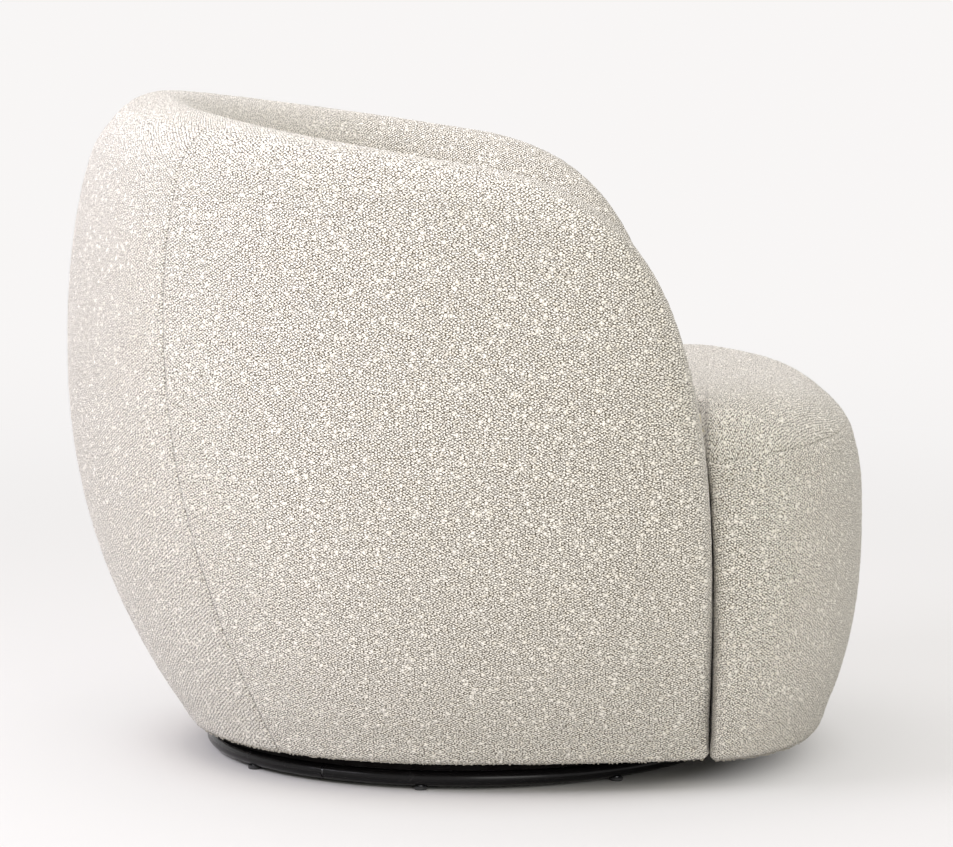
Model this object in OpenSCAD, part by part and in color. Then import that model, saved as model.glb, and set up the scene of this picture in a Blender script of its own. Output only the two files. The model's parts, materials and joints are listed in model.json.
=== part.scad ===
// Swivel lounge chair: a round upholstered tub with a fixed seat, turning on a steel ring.
// Millimetres. +Z is up, the chair faces -Y, and the origin is on the floor under the swivel axis.

/* [Tub] */
// Height of the crest at the middle of the back
back_h = 710; // [690:5:730]
// Height of the crest at the widest part of the arms
arm_h = 650; // [630:5:665]
// Half width of the tub at its fullest height
half_w = 425; // [410:5:440]
// Distance from the swivel axis to the back at its fullest height
back_r = 427; // [417:1:440]
// Height at which the tub is fullest
full_z = 430; // [410:5:450]
// How far the back tucks in between its fullest height and the floor
back_tuck = 155; // [140:5:165]
// How far the sides tuck in between their fullest height and the floor
side_tuck = 140; // [125:5:145]
// How far the back draws in between its fullest height and the crest
back_draw = 47; // [35:2:55]
// Distance from the swivel axis to the front edge of the arms
arm_front = 251; // [238:1:263]
// Length of the rounding from the widest part of the arm to its front edge
bend_reach = 200; // [180:5:210]
// Height of the lower edge of the covers above the floor
hem_z = 32; // [30:1:36]

/* [Seat] */
// Height of the seat's crown above the floor
seat_h = 412; // [402:1:424]
// Height of the seam round the nose where it meets the arms
seam_z = 347.5; // [341:0.5:354]
// How much higher that seam runs at the front
seam_rise = 15; // [0:1:18]
// Thickness of an arm at seat height, from cloth to cloth
arm_t = 128; // [118:1:138]
// Distance from the swivel axis to the inside of the back at seat height
seat_back = 170; // [158:1:184]
// Distance from the swivel axis to the front of the nose
nose_r = 427; // [418:1:436]
// How far the side of the nose lies within the widest part of the tub
nose_side_in = 85; // [75:1:95]

/* [Padding] */
// Thickness of the cover cloth
cloth = 3; // [2:0.5:4]
// Foam thickness outside the frame
wrap_foam = 12; // [10:1:14]
// Foam thickness over the crest and inside the tub
lining_foam = 22; // [18:1:24]
// Foam thickness behind the front band
nose_foam_t = 34; // [28:2:40]

/* [Frame] */
// Thickness of the bottom board
board_t = 18; // [15:1:20]
// Thickness of the plywood ribs
rib_t = 18; // [12:1:21]
// Thickness of the bent crest rail and arm posts
rail_t = 18; // [12:1:20]
// Height of the top of the seat rails above the floor
deck_z = 300; // [290:2:306]
// Depth of the seat rails
deck_rail_h = 60; // [45:5:80]
// Thickness of the seat rails
deck_rail_t = 25; // [20:1:30]
// Number of seat springs
spring_count = 5; // [3:1:5]
// Wire thickness of the seat springs
spring_wire = 3.8; // [3:0.1:4.5]

/* [Ring] */
// Radius of the ring's centre line
ring_r = 273; // [264:1:278]
// Diameter of the ring's tube
tube_d = 16; // [14:1:18]
// Height of the ring above the floor
ring_lift = 4; // [4:0.5:6]
// Diameter of a glide
glide_d = 14; // [12:1:18]
// Number of glides
glide_count = 8; // [4:1:12]
// Width of the cross bars
bar_w = 30; // [24:1:36]
// Thickness of the cross bars
bar_t = 6; // [5:0.5:8]

/* [Swivel] */
// Radius of the ball track
track_r = 72; // [60:1:80]
// Diameter of a bearing ball
ball_d = 8; // [7:0.5:9]
// Number of bearing balls
ball_count = 24; // [12:1:30]
// Thickness of each swivel plate
plate_t = 4; // [3.5:0.5:5]
// Radius of the lower swivel plate
plate_r = 100; // [96:1:104]
// Side of the square upper swivel plate
plate_side = 240; // [232:2:250]
// Diameter of the king pin
pin_d = 12; // [10:1:16]

/* [Hidden] */

// Running gap between a pin and its hole
run_gap = 0.05;
// Gap left between soft pieces that touch on the real chair
soft_gap = 0.5;
// Gap left between a frame piece and the faceted foam beside it
frame_gap = 4.5;
// Gap between a piece and the seat it rests on
seat_gap = 0.2;
// Half width between the arms at seat height, and of the nose in front of them
seat_half_w = half_w - arm_t;
nose_half_w = half_w - nose_side_in;
// Exponent of the rounded outlines seen from above
plan_n = 2.2;
// Exponent of the tuck below the fullest height
tuck_n = 2.15;
// Exponent of the draw above the fullest height
draw_n = 2.3;
// The widest part of the tub lies this far in front of the swivel axis
wide_y = -18;
// Forward reach of the outer outline if it closed in front
outer_reach = 480;
// Forward reach of the inner outline if it closed in front
inner_reach = 900;
// Millimetres of crest for one degree round the tub
deg_mm = 6.4;
// Lean of the inside of the arms and of the back, as a slope
arm_lean = 0.16;
back_lean = 0.35;

// Outline of the tub

function lerp(a, b, t) = a + (b - a) * t;
function clamp01(t) = min(1, max(0, t));
function bezier(p0, p1, p2, p3, t) =
  pow(1 - t, 3) * p0 + 3 * pow(1 - t, 2) * t * p1 + 3 * (1 - t) * t * t * p2 + t * t * t * p3;

// How far the outside lies within its fullest outline at height z, at the back
function shrink(z) = z < full_z
  ? back_tuck * pow((full_z - z) / full_z, tuck_n)
  : back_draw * pow((z - full_z) / (back_h - full_z), draw_n);
function side_shrink(z) = shrink(z) * side_tuck / back_tuck;
function outer_w(z) = half_w - side_shrink(z);
function outer_b(z) = back_r - wide_y - shrink(z);
function inner_w(z) = seat_half_w + (z - seat_h) * arm_lean;
function inner_b(z) = seat_back - wide_y + (z - seat_h) * back_lean;

// Point of a closed outline: a is in degrees from the back, and past 90 it counts crest length
function radius(w, b, a) = pow(pow(sin(a) / w, plan_n) + pow(cos(a) / b, plan_n), -1 / plan_n);
function plan(w, b, reach, a) = a <= 90
  ? radius(w, b, a) * [sin(a), cos(a)] + [0, wide_y]
  : [w * pow(1 - pow((a - 90) * deg_mm / reach, plan_n), 1 / plan_n), wide_y - (a - 90) * deg_mm];
function outer_plan(a, z) = plan(outer_w(z), outer_b(z), outer_reach, a);
function inner_plan(a, z) = plan(inner_w(z), inner_b(z), inner_reach, a);

// Stations run along the crest from the middle of the back to the foot of the arm front
TOP = 9;
BEND = 18;
FOOT = 22;
step_a = 90 / TOP;
front_a = 90 + (arm_front + wide_y) / deg_mm;
bend_low = 110;
bend_rise = 340;
corner = 6;
crest_fall = (back_h - arm_h) * PI / 180 / deg_mm;
function crest_z(a) = arm_h + (back_h - arm_h) * cos(a);
function crest_edge(k) = k <= TOP
  ? [step_a * k * deg_mm, crest_z(step_a * k)]
  : k <= BEND
    ? bezier([90 * deg_mm, arm_h], [90 * deg_mm + bend_reach, arm_h - crest_fall * bend_reach],
             [front_a * deg_mm, bend_low + bend_rise], [front_a * deg_mm, bend_low], (k - TOP) / (BEND - TOP))
    : [front_a * deg_mm, lerp(bend_low, hem_z + corner, (k - BEND) / (FOOT - BEND))];
function inward(k) =
  let (t = crest_edge(min(FOOT, k + 0.05)) - crest_edge(max(0, k - 0.05)))
  [t[1], -t[0]] / norm(t);

// Where the line from a station ends: at the hem outside, and below the seat inside
lining_z = 350;
lining_depth = 40;
function hem_target(k) = [
  deg_mm * (k <= TOP ? 11 * k : lerp(11 * TOP, front_a, (k - TOP) / (FOOT - TOP)))
    - corner * max(0, k - BEND) / (FOOT - BEND),
  hem_z
];
function lining_target(k) =
  let (e = crest_edge(k), start = 1.03 * deg_mm * step_a * min(k, TOP))
  [lerp(start, front_a * deg_mm - lining_depth, clamp01((k - TOP) / (BEND - TOP))),
   max(min(lining_z, e[1]), board_z + board_t + 5)];

// Depth of the rounding at the crest and at the arm front
function rounding(k) = k <= TOP ? lerp(70, 42, sin(step_a * k)) : lerp(42, 26, clamp01((k - TOP) / 7));
function way(k, side, c) =
  let (s = crest_edge(k) + inward(k) * c)
  norm((side < 0 ? hem_target(k) : lining_target(k)) - s);
function along(k, side, c, d) =
  let (n = inward(k), s = crest_edge(k) + n * c, t = side < 0 ? hem_target(k) : lining_target(k),
       l = norm(t - s), p2 = side < 0 ? t + [0, l / 3] : t + (s - t) / 3)
  bezier(s, s + n * l / 3, p2, t, clamp01(d / l));

// Point of the wall at depth d below the crest, c under the outer skin, with the skin bulged by a share
function wall(k, side, c, d, bulge) =
  let (q = along(k, side, c, d), a = max(0, q[0]) / deg_mm, o = outer_plan(a, q[1]), i = inner_plan(a, q[1]),
       m = (o + i) / 2, h = (side < 0 ? o : i) - m, p = m + h * bulge * (1 - c / norm(h)))
  [p[0], p[1], q[1]];

// Rows run from the hem outside (negative) over the crest (0) to the lower edge of the lining
ROUND = 5;
OUT_ROWS = 12;
IN_ROWS = 9;
SEAM_ROW = -2;
function wall_row(k, v, c) =
  let (j = abs(v), side = v < 0 ? -1 : 1, l = way(k, side, c), r = min(rounding(k), l / 2),
       last = v < 0 ? OUT_ROWS : IN_ROWS)
  j <= ROUND
    ? wall(k, side, c, r * (1 - cos(90 * j / ROUND)), sin(90 * j / ROUND))
    : wall(k, side, c, lerp(r, l, (j - ROUND) / (last - ROUND)), 1);
function tub(s, v, c) = let (p = wall_row(abs(s), v, c)) [sign(s) * p[0], p[1], p[2]];

// Closed solid between two grids of points, each with m points in a column
module slab(back, face, n, m) {
  q = n * m;
  function quad(a, b, c, d) = [[a, b, c], [a, c, d]];
  skins = [for (i = [0:n - 2]) for (j = [0:m - 2]) let (a = i * m + j, b = a + m) each concat(
    quad(a, a + 1, b + 1, b), quad(q + a, q + b, q + b + 1, q + a + 1))];
  ends = [for (j = [0:m - 2]) let (z = (n - 1) * m + j) each concat(
    quad(j, q + j, q + j + 1, j + 1), quad(z, z + 1, q + z + 1, q + z))];
  rims = [for (i = [0:n - 2]) let (a = i * m, b = a + m, u = a + m - 1, w = b + m - 1) each concat(
    quad(a, b, q + b, q + a), quad(u, q + u, q + w, w))];
  polyhedron(concat(back, face), concat(skins, ends, rims), convexity = 8);
}

// Piece of the wall over these stations and rows, from c deep to a depth for each row
module wall_piece(stations, rows, c, depths) {
  outer = [for (s = stations) for (v = rows) tub(s, v, c)];
  inner = [for (s = stations) for (i = [0:len(rows) - 1]) tub(s, rows[i], depths[i])];
  slab(inner, outer, len(stations), len(rows));
}

under_cloth = cloth + 0.3;
wrap_in = under_cloth + wrap_foam;
lining_in = under_cloth + lining_foam;
function foam_in(v) = v <= -ROUND ? wrap_in : v >= 0 ? lining_in : lerp(lining_in, wrap_in, -v / ROUND);

// Outline of the nose and the seat

nose_y = -203;
nose_n = 2.4;
// The joint of the nose runs this far in front of the arm's front edge, and follows it
joint_gap = 1.5;
front_line = [for (k = [FOOT:-0.5:TOP + 3]) let (e = crest_edge(k)) [e[1], wide_y + 90 * deg_mm - e[0]]];
function joint_y(z) = lookup(z, front_line) - joint_gap;
shoulder_z = 280;
shoulder_in = 168;
shoulder_n = 2.92;
nose_tuck_z = 254;
nose_tuck = 60;
joint_round = 14;
function nose_inset(z) = z > shoulder_z
  ? shoulder_in * (1 - pow(1 - pow((z - shoulder_z) / (seat_h - shoulder_z), shoulder_n), 1 / shoulder_n))
  : z < nose_tuck_z ? nose_tuck * pow((nose_tuck_z - z) / nose_tuck_z, draw_n) : 0;
// Point round the nose at height z: t runs from 0 at the front to 1 at the joint with the arm
function nose_at(t, z, inset, c) =
  let (w = nose_half_w - inset - c, f = nose_r + nose_y - inset - c, joint = joint_y(z),
       last = acos(pow((nose_y - joint) / f, nose_n / 2)), b = t * last,
       y = nose_y - f * pow(cos(b), 2 / nose_n), near = clamp01((joint - y) / joint_round))
  [w * pow(sin(b), 2 / nose_n) - joint_round * (1 - sqrt(1 - pow(1 - near, 2))), y];
function nose(s, n, z, c) = let (p = nose_at(abs(s) / n, z, nose_inset(z), c)) [sign(s) * p[0], p[1], z];

// Half outline of the seat: round the nose, then back along the arms to the middle of the back
NOSE_STEPS = 10;
SEAT_STEPS = 9;
function seam_at(t) = seam_z + seam_rise * (1 - t * t);
seat_clear = 4;
seat_a0 = 90 + (wide_y - joint_y(seam_z) - seat_clear) / deg_mm;
function seat_edge(i, z, c) = i <= NOSE_STEPS
  ? let (t = i / NOSE_STEPS, s = seam_at(t)) nose_at(t, min(s, z), nose_inset(s), c)
  : let (a = lerp(seat_a0, 0, (i - NOSE_STEPS - 1) / SEAT_STEPS), p = inner_plan(a, z) - [0, wide_y])
    [0, wide_y] + p * (1 - (seat_clear + c) / norm(p));
seat_y = -153;
seat_slope = 0.06;
crease_z = 370;
crease_in = 60;
edge_round = 20;
function seat_top(y) = seat_h - seat_slope * max(0, y + arm_front);
// Share of the crown's full height at the distance d from the edge, for a rounding this wide
function rise(d, width, start) = pow(1 - pow(1 - clamp01(d / width + start), shoulder_n), 1 / shoulder_n);
function ease(t) = t * t * (3 - 2 * t);
// The wide shoulder of the nose narrows to a close crease along the arms
function seat_pt(i, share, c) =
  let (e = seat_edge(i, crease_z, c), o = [0, seat_y], p = o + (e - o) * share, d = norm(e - p),
       wide = ease(clamp01((NOSE_STEPS + 4 - i) / NOSE_STEPS)), low = ease(clamp01((NOSE_STEPS + 3 - i) / 3)),
       seam = seam_at(min(1, i / NOSE_STEPS)), start = nose_inset(seam) / shoulder_in,
       edge_z = lerp(crease_z, seam, low), top = seat_top(p[1]), r0 = rise(0, 1, start),
       r = rise(d, lerp(crease_in, shoulder_in, wide), start))
  [p[0], p[1], edge_z + (top - edge_z) * (r - r0) / (1 - r0) - c * clamp01(d / edge_round)];
SEAT_ROWS = 7;
SEAT_HALF = NOSE_STEPS + 1 + SEAT_STEPS;
function seat_side(i) = i < 0 ? -1 : i > 0 && i < SEAT_HALF ? 1 : 0;
function seat_ring(j, c) =
  let (share = 1 - pow(j / SEAT_ROWS, 1.5))
  [for (i = [-SEAT_HALF + 1:SEAT_HALF]) let (p = seat_pt(abs(i), share, c)) [seat_side(i) * p[0], p[1], p[2]]];

// Closed solid from stacked rings of points, capped by its first and last ring
module stack(rings) {
  n = len(rings[0]);
  m = len(rings);
  sides = [for (j = [0:m - 2]) for (i = [0:n - 1]) let (a = j * n + i, b = j * n + (i + 1) % n)
    each [[a, b + n, b], [a, a + n, b + n]]];
  base = [[for (i = [0:n - 1]) i]];
  top = [[for (i = [n - 1:-1:0]) (m - 1) * n + i]];
  polyhedron([for (r = rings) each r], concat(sides, base, top), convexity = 6);
}

// Levels of the swivel and the base

tube_r = tube_d / 2;
tube_z = ring_lift + tube_r;
bar_z = ring_lift + tube_d - bar_t;
lower_z = bar_z + bar_t;
groove = 1.5;
track_gap = 0.1;
ball_z = lower_z + plate_t - groove + track_gap + ball_d / 2;
upper_z = ball_z + ball_d / 2 + track_gap - groove;
board_z = upper_z + plate_t;
joint_a = 147.5;
bolt_d = 8;
lower_bolt_r = 88;
upper_bolt = plate_side / 2 - 20;
pin_head_d = 22;
pin_head_h = 4;
steel = "#2b2b2d";
zinc = "#b9bcc0";
ply = "#c9a878";
foam = "#e8dca8";
ivory = "#e4ddd0";

module ring_arc(r, from, to) {
  rotate([0, 0, from]) translate([0, 0, tube_z]) rotate_extrude(angle = to - from, $fn = 96)
    translate([ring_r, 0]) circle(r = r, $fn = 32);
}
tube_wall = 1.5;
spigot_deg = 4;
spigot_r = tube_r - tube_wall - 0.05;
ring_slot_deg = 0.4;
module ring_half(from) {
  color(steel) difference() {
    ring_arc(tube_r, from + ring_slot_deg / 2, from + 180 - ring_slot_deg / 2);
    for (end = [from, from + 180]) ring_arc(spigot_r + 0.05, end - spigot_deg, end + spigot_deg);
    glide_places() translate([0, 0, -ring_lift]) cylinder(d = stud_d, h = stud_top, $fn = 24);
  }
}
module ring_half_left() { ring_half(joint_a - 180); }
module ring_half_right() { ring_half(joint_a); }
module ring_spigots() {
  color(zinc) for (end = [joint_a, joint_a + 180])
    ring_arc(spigot_r, end - spigot_deg + 0.1, end + spigot_deg - 0.1);
}

stud_d = 5;
stud_top = ring_lift + tube_wall + 3;
glide_base = 2;
glide_a = 170;
module glide_places() {
  for (i = [0:glide_count - 1]) rotate([0, 0, glide_a + i * 360 / glide_count])
    translate([ring_r, 0, ring_lift]) children();
}
module glides() {
  color("#1c1c1d") glide_places() translate([0, 0, -ring_lift]) difference() {
    rotate_extrude($fn = 48) polygon([[0, 0], [glide_d / 2 - 1, 0], [glide_d / 2, 1],
      [glide_d / 2, ring_lift - 1], [glide_d / 2 - 1, ring_lift - seat_gap], [0, ring_lift - seat_gap]]);
    translate([0, 0, glide_base]) cylinder(d = stud_d + 0.1, h = ring_lift, $fn = 24);
    ring_clear();
  }
}
module ring_clear() {
  translate([0, 0, ring_lift + tube_r]) rotate([90, 0, 0])
    cylinder(r = tube_r + seat_gap, h = 2 * glide_d, center = true, $fn = 48);
}
module glide_studs() {
  color(zinc) glide_places() translate([0, 0, glide_base + 0.1 - ring_lift])
    cylinder(d = stud_d - 0.1, h = stud_top - glide_base - 0.3, $fn = 24);
}

weld_gap = 0.1;
bar_end = ring_r - tube_r;
module bar(from, to) {
  translate([from, -bar_w / 2, bar_z]) cube([to - from, bar_w, bar_t]);
}
module bar_bores() {
  translate([0, 0, bar_z - 1]) cylinder(d = pin_d + 2 * run_gap, h = bar_t + 2, $fn = 48);
  for (a = [0, 90, 180, 270]) rotate([0, 0, a]) translate([lower_bolt_r, 0, bar_z - 1])
    cylinder(d = bolt_d + 0.4, h = bar_t + 2, $fn = 32);
}
module cross_bar_long() {
  color(steel) difference() {
    bar(-bar_end - tube_r / 2, bar_end + tube_r / 2);
    ring_arc(tube_r + weld_gap, 0, 360);
    bar_bores();
  }
}
module cross_bars_short() {
  color(steel) for (a = [90, 270]) rotate([0, 0, a]) difference() {
    bar(bar_w / 2 + 0.1, bar_end + tube_r / 2);
    ring_arc(tube_r + weld_gap, 0, 360);
    bar_bores();
  }
}

module track(z) {
  translate([0, 0, z]) rotate_extrude($fn = 96) translate([track_r, 0])
    circle(r = ball_d / 2 + track_gap, $fn = 48);
}
module lower_plate() {
  color(zinc) difference() {
    translate([0, 0, lower_z]) cylinder(r = plate_r, h = plate_t, $fn = 96);
    track(ball_z);
    translate([0, 0, lower_z - 1]) cylinder(d = pin_d + 2 * run_gap, h = plate_t + 2, $fn = 48);
    for (a = [0, 90, 180, 270]) rotate([0, 0, a]) translate([lower_bolt_r, 0, lower_z - 1]) {
      cylinder(d = bolt_d + 0.4, h = plate_t + 2, $fn = 32);
      translate([0, 0, 1 + plate_t - sunk]) cylinder(d = sunk_d + 0.4, h = sunk + 1, $fn = 32);
    }
  }
}
sunk = 2.5;
sunk_d = 14;
nut_h = 5;
nut_w = 13;
module lower_plate_bolts() {
  color(steel) for (a = [0, 90, 180, 270]) rotate([0, 0, a]) translate([lower_bolt_r, 0, 0]) {
    translate([0, 0, lower_z + plate_t - sunk + 0.1]) cylinder(d = sunk_d, h = sunk - 0.3, $fn = 32);
    translate([0, 0, bar_z - nut_h])
      cylinder(d = bolt_d, h = lower_z + plate_t - sunk + 0.2 - bar_z + nut_h, $fn = 32);
    translate([0, 0, bar_z - nut_h - 0.1]) cylinder(d = nut_w, h = nut_h, $fn = 6);
  }
}

module king_pin() {
  color(zinc) {
    translate([0, 0, bar_z - nut_h - 2]) cylinder(d = pin_d, h = board_z + 0.3 - bar_z + nut_h + 2, $fn = 48);
    translate([0, 0, board_z + 0.2]) cylinder(d = pin_head_d, h = pin_head_h, $fn = 48);
  }
}
module king_nut() {
  color(zinc) translate([0, 0, bar_z - nut_h - 0.1]) difference() {
    cylinder(d = 1.8 * pin_d, h = nut_h, $fn = 6);
    translate([0, 0, -1]) cylinder(d = pin_d + 2 * run_gap, h = nut_h + 2, $fn = 48);
  }
}

cage_t = 2;
cage_w = 11;
module ball_places() {
  for (i = [0:ball_count - 1]) rotate([0, 0, i * 360 / ball_count])
    translate([track_r, 0, ball_z]) children();
}
module ball_cage() {
  color("#8f8f86") difference() {
    translate([0, 0, ball_z - cage_t / 2]) cylinder(r = track_r + cage_w, h = cage_t, $fn = 96);
    translate([0, 0, ball_z - cage_t]) cylinder(r = track_r - cage_w, h = 2 * cage_t, $fn = 96);
    ball_places() cylinder(d = ball_d + 0.4, h = 2 * cage_t, center = true, $fn = 32);
  }
}
module bearing_balls() {
  color("silver") ball_places() sphere(d = ball_d, $fn = 32);
}

module upper_plate() {
  color(zinc) difference() {
    translate([-plate_side / 2, -plate_side / 2, upper_z]) cube([plate_side, plate_side, plate_t]);
    track(ball_z);
    translate([0, 0, upper_z - 1]) cylinder(d = pin_d + 2 * run_gap, h = plate_t + 2, $fn = 48);
    upper_bolt_places() translate([0, 0, upper_z - 1]) cylinder(d = bolt_d + 0.4, h = plate_t + 2, $fn = 32);
  }
}
module upper_bolt_places() {
  for (x = [-upper_bolt, upper_bolt]) for (y = [-upper_bolt, upper_bolt]) translate([x, y, 0]) children();
}
bolt_head_h = 4;
module upper_plate_bolts() {
  color(steel) upper_bolt_places() {
    translate([0, 0, upper_z - bolt_head_h - 0.1]) cylinder(d = 14, h = bolt_head_h, $fn = 6);
    translate([0, 0, upper_z - 1]) cylinder(d = bolt_d, h = board_z + board_t - upper_z, $fn = 32);
  }
}
tee_d = 11;
tee_flange_d = 22;
module tee_nuts() {
  color(zinc) upper_bolt_places() difference() {
    union() {
      translate([0, 0, board_z + 4]) cylinder(d = tee_d, h = board_t - 4 + 0.2, $fn = 32);
      translate([0, 0, board_z + board_t + 0.1]) cylinder(d = tee_flange_d, h = 1.5, $fn = 32);
    }
    translate([0, 0, board_z + 3]) cylinder(d = bolt_d + 0.1, h = board_t, $fn = 32);
  }
}

// Outline of the frame at height z, seen from above, lying inside the foam
notch_y = -arm_front + lining_depth + 4;
notch_x = inner_plan(front_a, hem_z)[0] - 4;
notch_a = 90 + (wide_y - notch_y) / deg_mm;
function half_frame(z, tub_in, nose_in) = concat(
  [for (i = [0:18]) let (p = outer_plan(notch_a * i / 18, z) - [0, wide_y])
    [0, wide_y] + p * (1 - tub_in / norm(p))],
  [[notch_x, notch_y], [notch_x, joint_y(z)]],
  [for (i = [6:-1:0]) let (p = nose_at(i / 6, z, nose_inset(z), nose_in)) if (p[0] < notch_x) p]);
function both_sides(half) = concat(half, [for (i = [len(half) - 2:-1:1]) [-half[i][0], half[i][1]]]);
module frame_outline(z, tub_in, nose_in) {
  polygon(both_sides(half_frame(z, tub_in, nose_in)));
}
board_gap = 2;
board_in = wrap_in + board_gap;
board_nose_in = under_cloth + nose_foam_t + board_gap;
module bottom_board() {
  color(ply) translate([0, 0, board_z]) difference() {
    linear_extrude(board_t) frame_outline(board_z, board_in, board_nose_in);
    translate([0, 0, -1]) cylinder(d = pin_head_d + 4, h = board_t + 2, $fn = 48);
    upper_bolt_places() translate([0, 0, -1]) cylinder(d = tee_d + 0.2, h = board_t + 2, $fn = 32);
  }
}
dust_t = 1;
dust_hole = plate_side + 4;
module dust_cover() {
  color("#1b1b1b") translate([0, 0, board_z - dust_t - 0.1]) linear_extrude(dust_t) difference() {
    frame_outline(board_z, board_in + 2, board_nose_in + 2);
    square(dust_hole, center = true);
  }
}

// Black hoop that closes the space between the ring and the board
hoop_r = 279;
hoop_w = 30;
hoop_clear = 1.5;
module plinth_hoop() {
  low = ring_lift + tube_d + hoop_clear;
  color(steel) translate([0, 0, low]) difference() {
    cylinder(r = hoop_r, h = board_z - dust_t - 0.2 - low, $fn = 128);
    translate([0, 0, -1]) cylinder(r = hoop_r - hoop_w, h = board_z - low, $fn = 128);
  }
}

// Ribs: upright plates in planes through the widest point, from the board to the crest rail
rib_base = board_z + board_t;
rail_depth = lining_in + 2;
crest_drop = rail_depth + rail_t + 2;
function rib_out(a, z) = norm(outer_plan(a, z) - [0, wide_y]) - wrap_in - frame_gap;
function rib_in(a, z) = norm(inner_plan(a, max(z, lining_z)) - [0, wide_y]) + lining_in + frame_gap;
// Reach of the seat frame's rectangle in the direction a, with room for the rib's own thickness
function deck_reach(a) = a > 45 && deck_half_w * cos(a) < (deck_back - wide_y) * sin(a)
  ? deck_half_w / sin(a) + rib_t / 2 / tan(a) + seat_gap
  : (deck_back - wide_y) / cos(a) + rib_t / 2 * tan(a) + seat_gap;
module rib(a, drop) {
  top = crest_z(a) - rounding(a / step_a) - drop - crest_fall * rib_t / 2;
  steps = 14;
  levels = [for (i = [0:steps]) lerp(rib_base + 0.1, top, i / steps)];
  translate([0, wide_y, 0]) rotate([0, 0, 90 - a]) rotate([90, 0, 0]) linear_extrude(rib_t, center = true)
    polygon(concat([for (z = levels) [rib_out(a, z), z]],
      [for (i = [steps:-1:0]) if (levels[i] > lining_z) [rib_in(a, levels[i]), levels[i]]],
      [[max(rib_in(a, lining_z), deck_reach(a)), lining_z], [max(rib_in(a, lining_z), deck_reach(a)), deck_z],
       [deck_reach(a), deck_z], [deck_reach(a), rib_base + 0.1]]));
}
// Set back of the plate behind the arm post, which leans with the arm front
post_set = 8;
// Upright plate behind the arm post, from the side rail out to the foam
module post_rib() {
  y = -arm_front + rounding(BEND) + rail_depth + rail_t + post_set + rib_t;
  a = 90 + (wide_y - y) / deg_mm;
  levels = [for (i = [0:8]) lerp(rib_base + 0.1, deck_z, i / 8)];
  translate([0, y, 0]) rotate([90, 0, 0]) linear_extrude(rib_t)
    polygon(concat([[deck_half_w + seat_gap, rib_base + 0.1]],
      [for (z = levels) [outer_plan(a + rib_t / deg_mm, z)[0] - wrap_in - frame_gap, z]],
      [[deck_half_w + seat_gap, deck_z]]));
}
module back_ribs() {
  color(ply) {
    rib(0, crest_drop);
    for (a = [30, 60]) {
      rib(a, crest_drop);
      mirror([1, 0, 0]) rib(a, crest_drop);
    }
  }
}
module arm_ribs() {
  color(ply) for (side = [0, 1]) mirror([side, 0, 0]) {
    rib(90, crest_drop);
    post_rib();
  }
}

// Bent rail under the crest, carried on down the arm fronts as posts
function rail_section(s) =
  let (k = abs(s), d0 = min(rounding(k), way(k, -1, 0) / 2) + rail_depth,
       co = wrap_in + frame_gap, ci = lining_in + frame_gap)
  [for (q = [[-1, co, 0], [1, ci, 0], [1, ci, rail_t], [-1, co, rail_t]])
    let (p = wall(k, q[0], q[1], d0 + q[2] - q[1], 1)) [(s < 0 ? -1 : s > 0 ? 1 : 0) * p[0], p[1], p[2]]];
module bent_rail(s0, s1, step) {
  stack([for (s = [s0:step:s1]) rail_section(s)]);
}
split_k = 12;
post_end = 19;
post_gap = 0.02;
module crest_rail() { color(ply) bent_rail(-split_k, split_k, 1); }
module arm_post(side) {
  color(ply) mirror([side < 0 ? 1 : 0, 0, 0]) bent_rail(split_k + post_gap, post_end + post_gap, 1);
}
module arm_post_left() { arm_post(1); }
module arm_post_right() { arm_post(-1); }

// Seat frame
panel_t = 15;
// Distance from the front of the nose to the front panel
panel_set = 98;
panel_y = -nose_r + panel_set;
rail_front = panel_y + panel_t + seat_gap;
// Half width left by the nose foam for a flat piece at y and height z
function nose_half(y, z) =
  let (inset = nose_inset(z) + board_nose_in, w = nose_half_w - inset, f = nose_r + nose_y - inset)
  w * pow(1 - pow((nose_y - y) / f, nose_n), 1 / nose_n) - frame_gap;
deck_half_w = nose_half(panel_y, deck_z - deck_rail_h);
deck_back = wide_y + rib_in(0, lining_z) - seat_gap;
module side_rails() {
  color("#b98f5a") for (side = [-1, 1])
    translate([side * (deck_half_w - deck_rail_t / 2) - deck_rail_t / 2, rail_front, deck_z - deck_rail_h])
      cube([deck_rail_t, deck_back - deck_rail_t - seat_gap - rail_front, deck_rail_h]);
}
module back_rail() {
  color("#b98f5a") translate([-back_rail_half, deck_back - deck_rail_t, deck_z - deck_rail_h])
    cube([2 * back_rail_half, deck_rail_t, deck_rail_h]);
}
// Share of the seat frame's width that the back rail takes between the side rails
back_rail_share = 0.62;
back_rail_half = back_rail_share * deck_half_w;
module front_panel() {
  levels = [for (i = [0:8]) lerp(rib_base + 0.1, deck_z, i / 8)];
  half = [for (z = levels) [nose_half(panel_y, z), z]];
  color(ply) translate([0, panel_y + panel_t, 0]) rotate([90, 0, 0]) linear_extrude(panel_t)
    polygon(concat(half, [for (i = [8:-1:0]) [-half[i][0], half[i][1]]]));
}
shelf_t = 12;
low_shelf = 100;
module nose_shelves() {
  color(ply) for (z = [rib_base + low_shelf, deck_z - shelf_t]) translate([0, 0, z]) linear_extrude(shelf_t)
    intersection() {
      inset = max(nose_inset(z), nose_inset(z + shelf_t));
      half = [for (i = [NOSE_STEPS:-1:0]) nose_at(i / NOSE_STEPS, z, inset, board_nose_in)];
      polygon(both_sides(concat([[0, nose_y]], half)));
      translate([-nose_half_w, -nose_r]) square([2 * nose_half_w, nose_r + panel_y - seat_gap]);
    }
}
block_w = 60;
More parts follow.
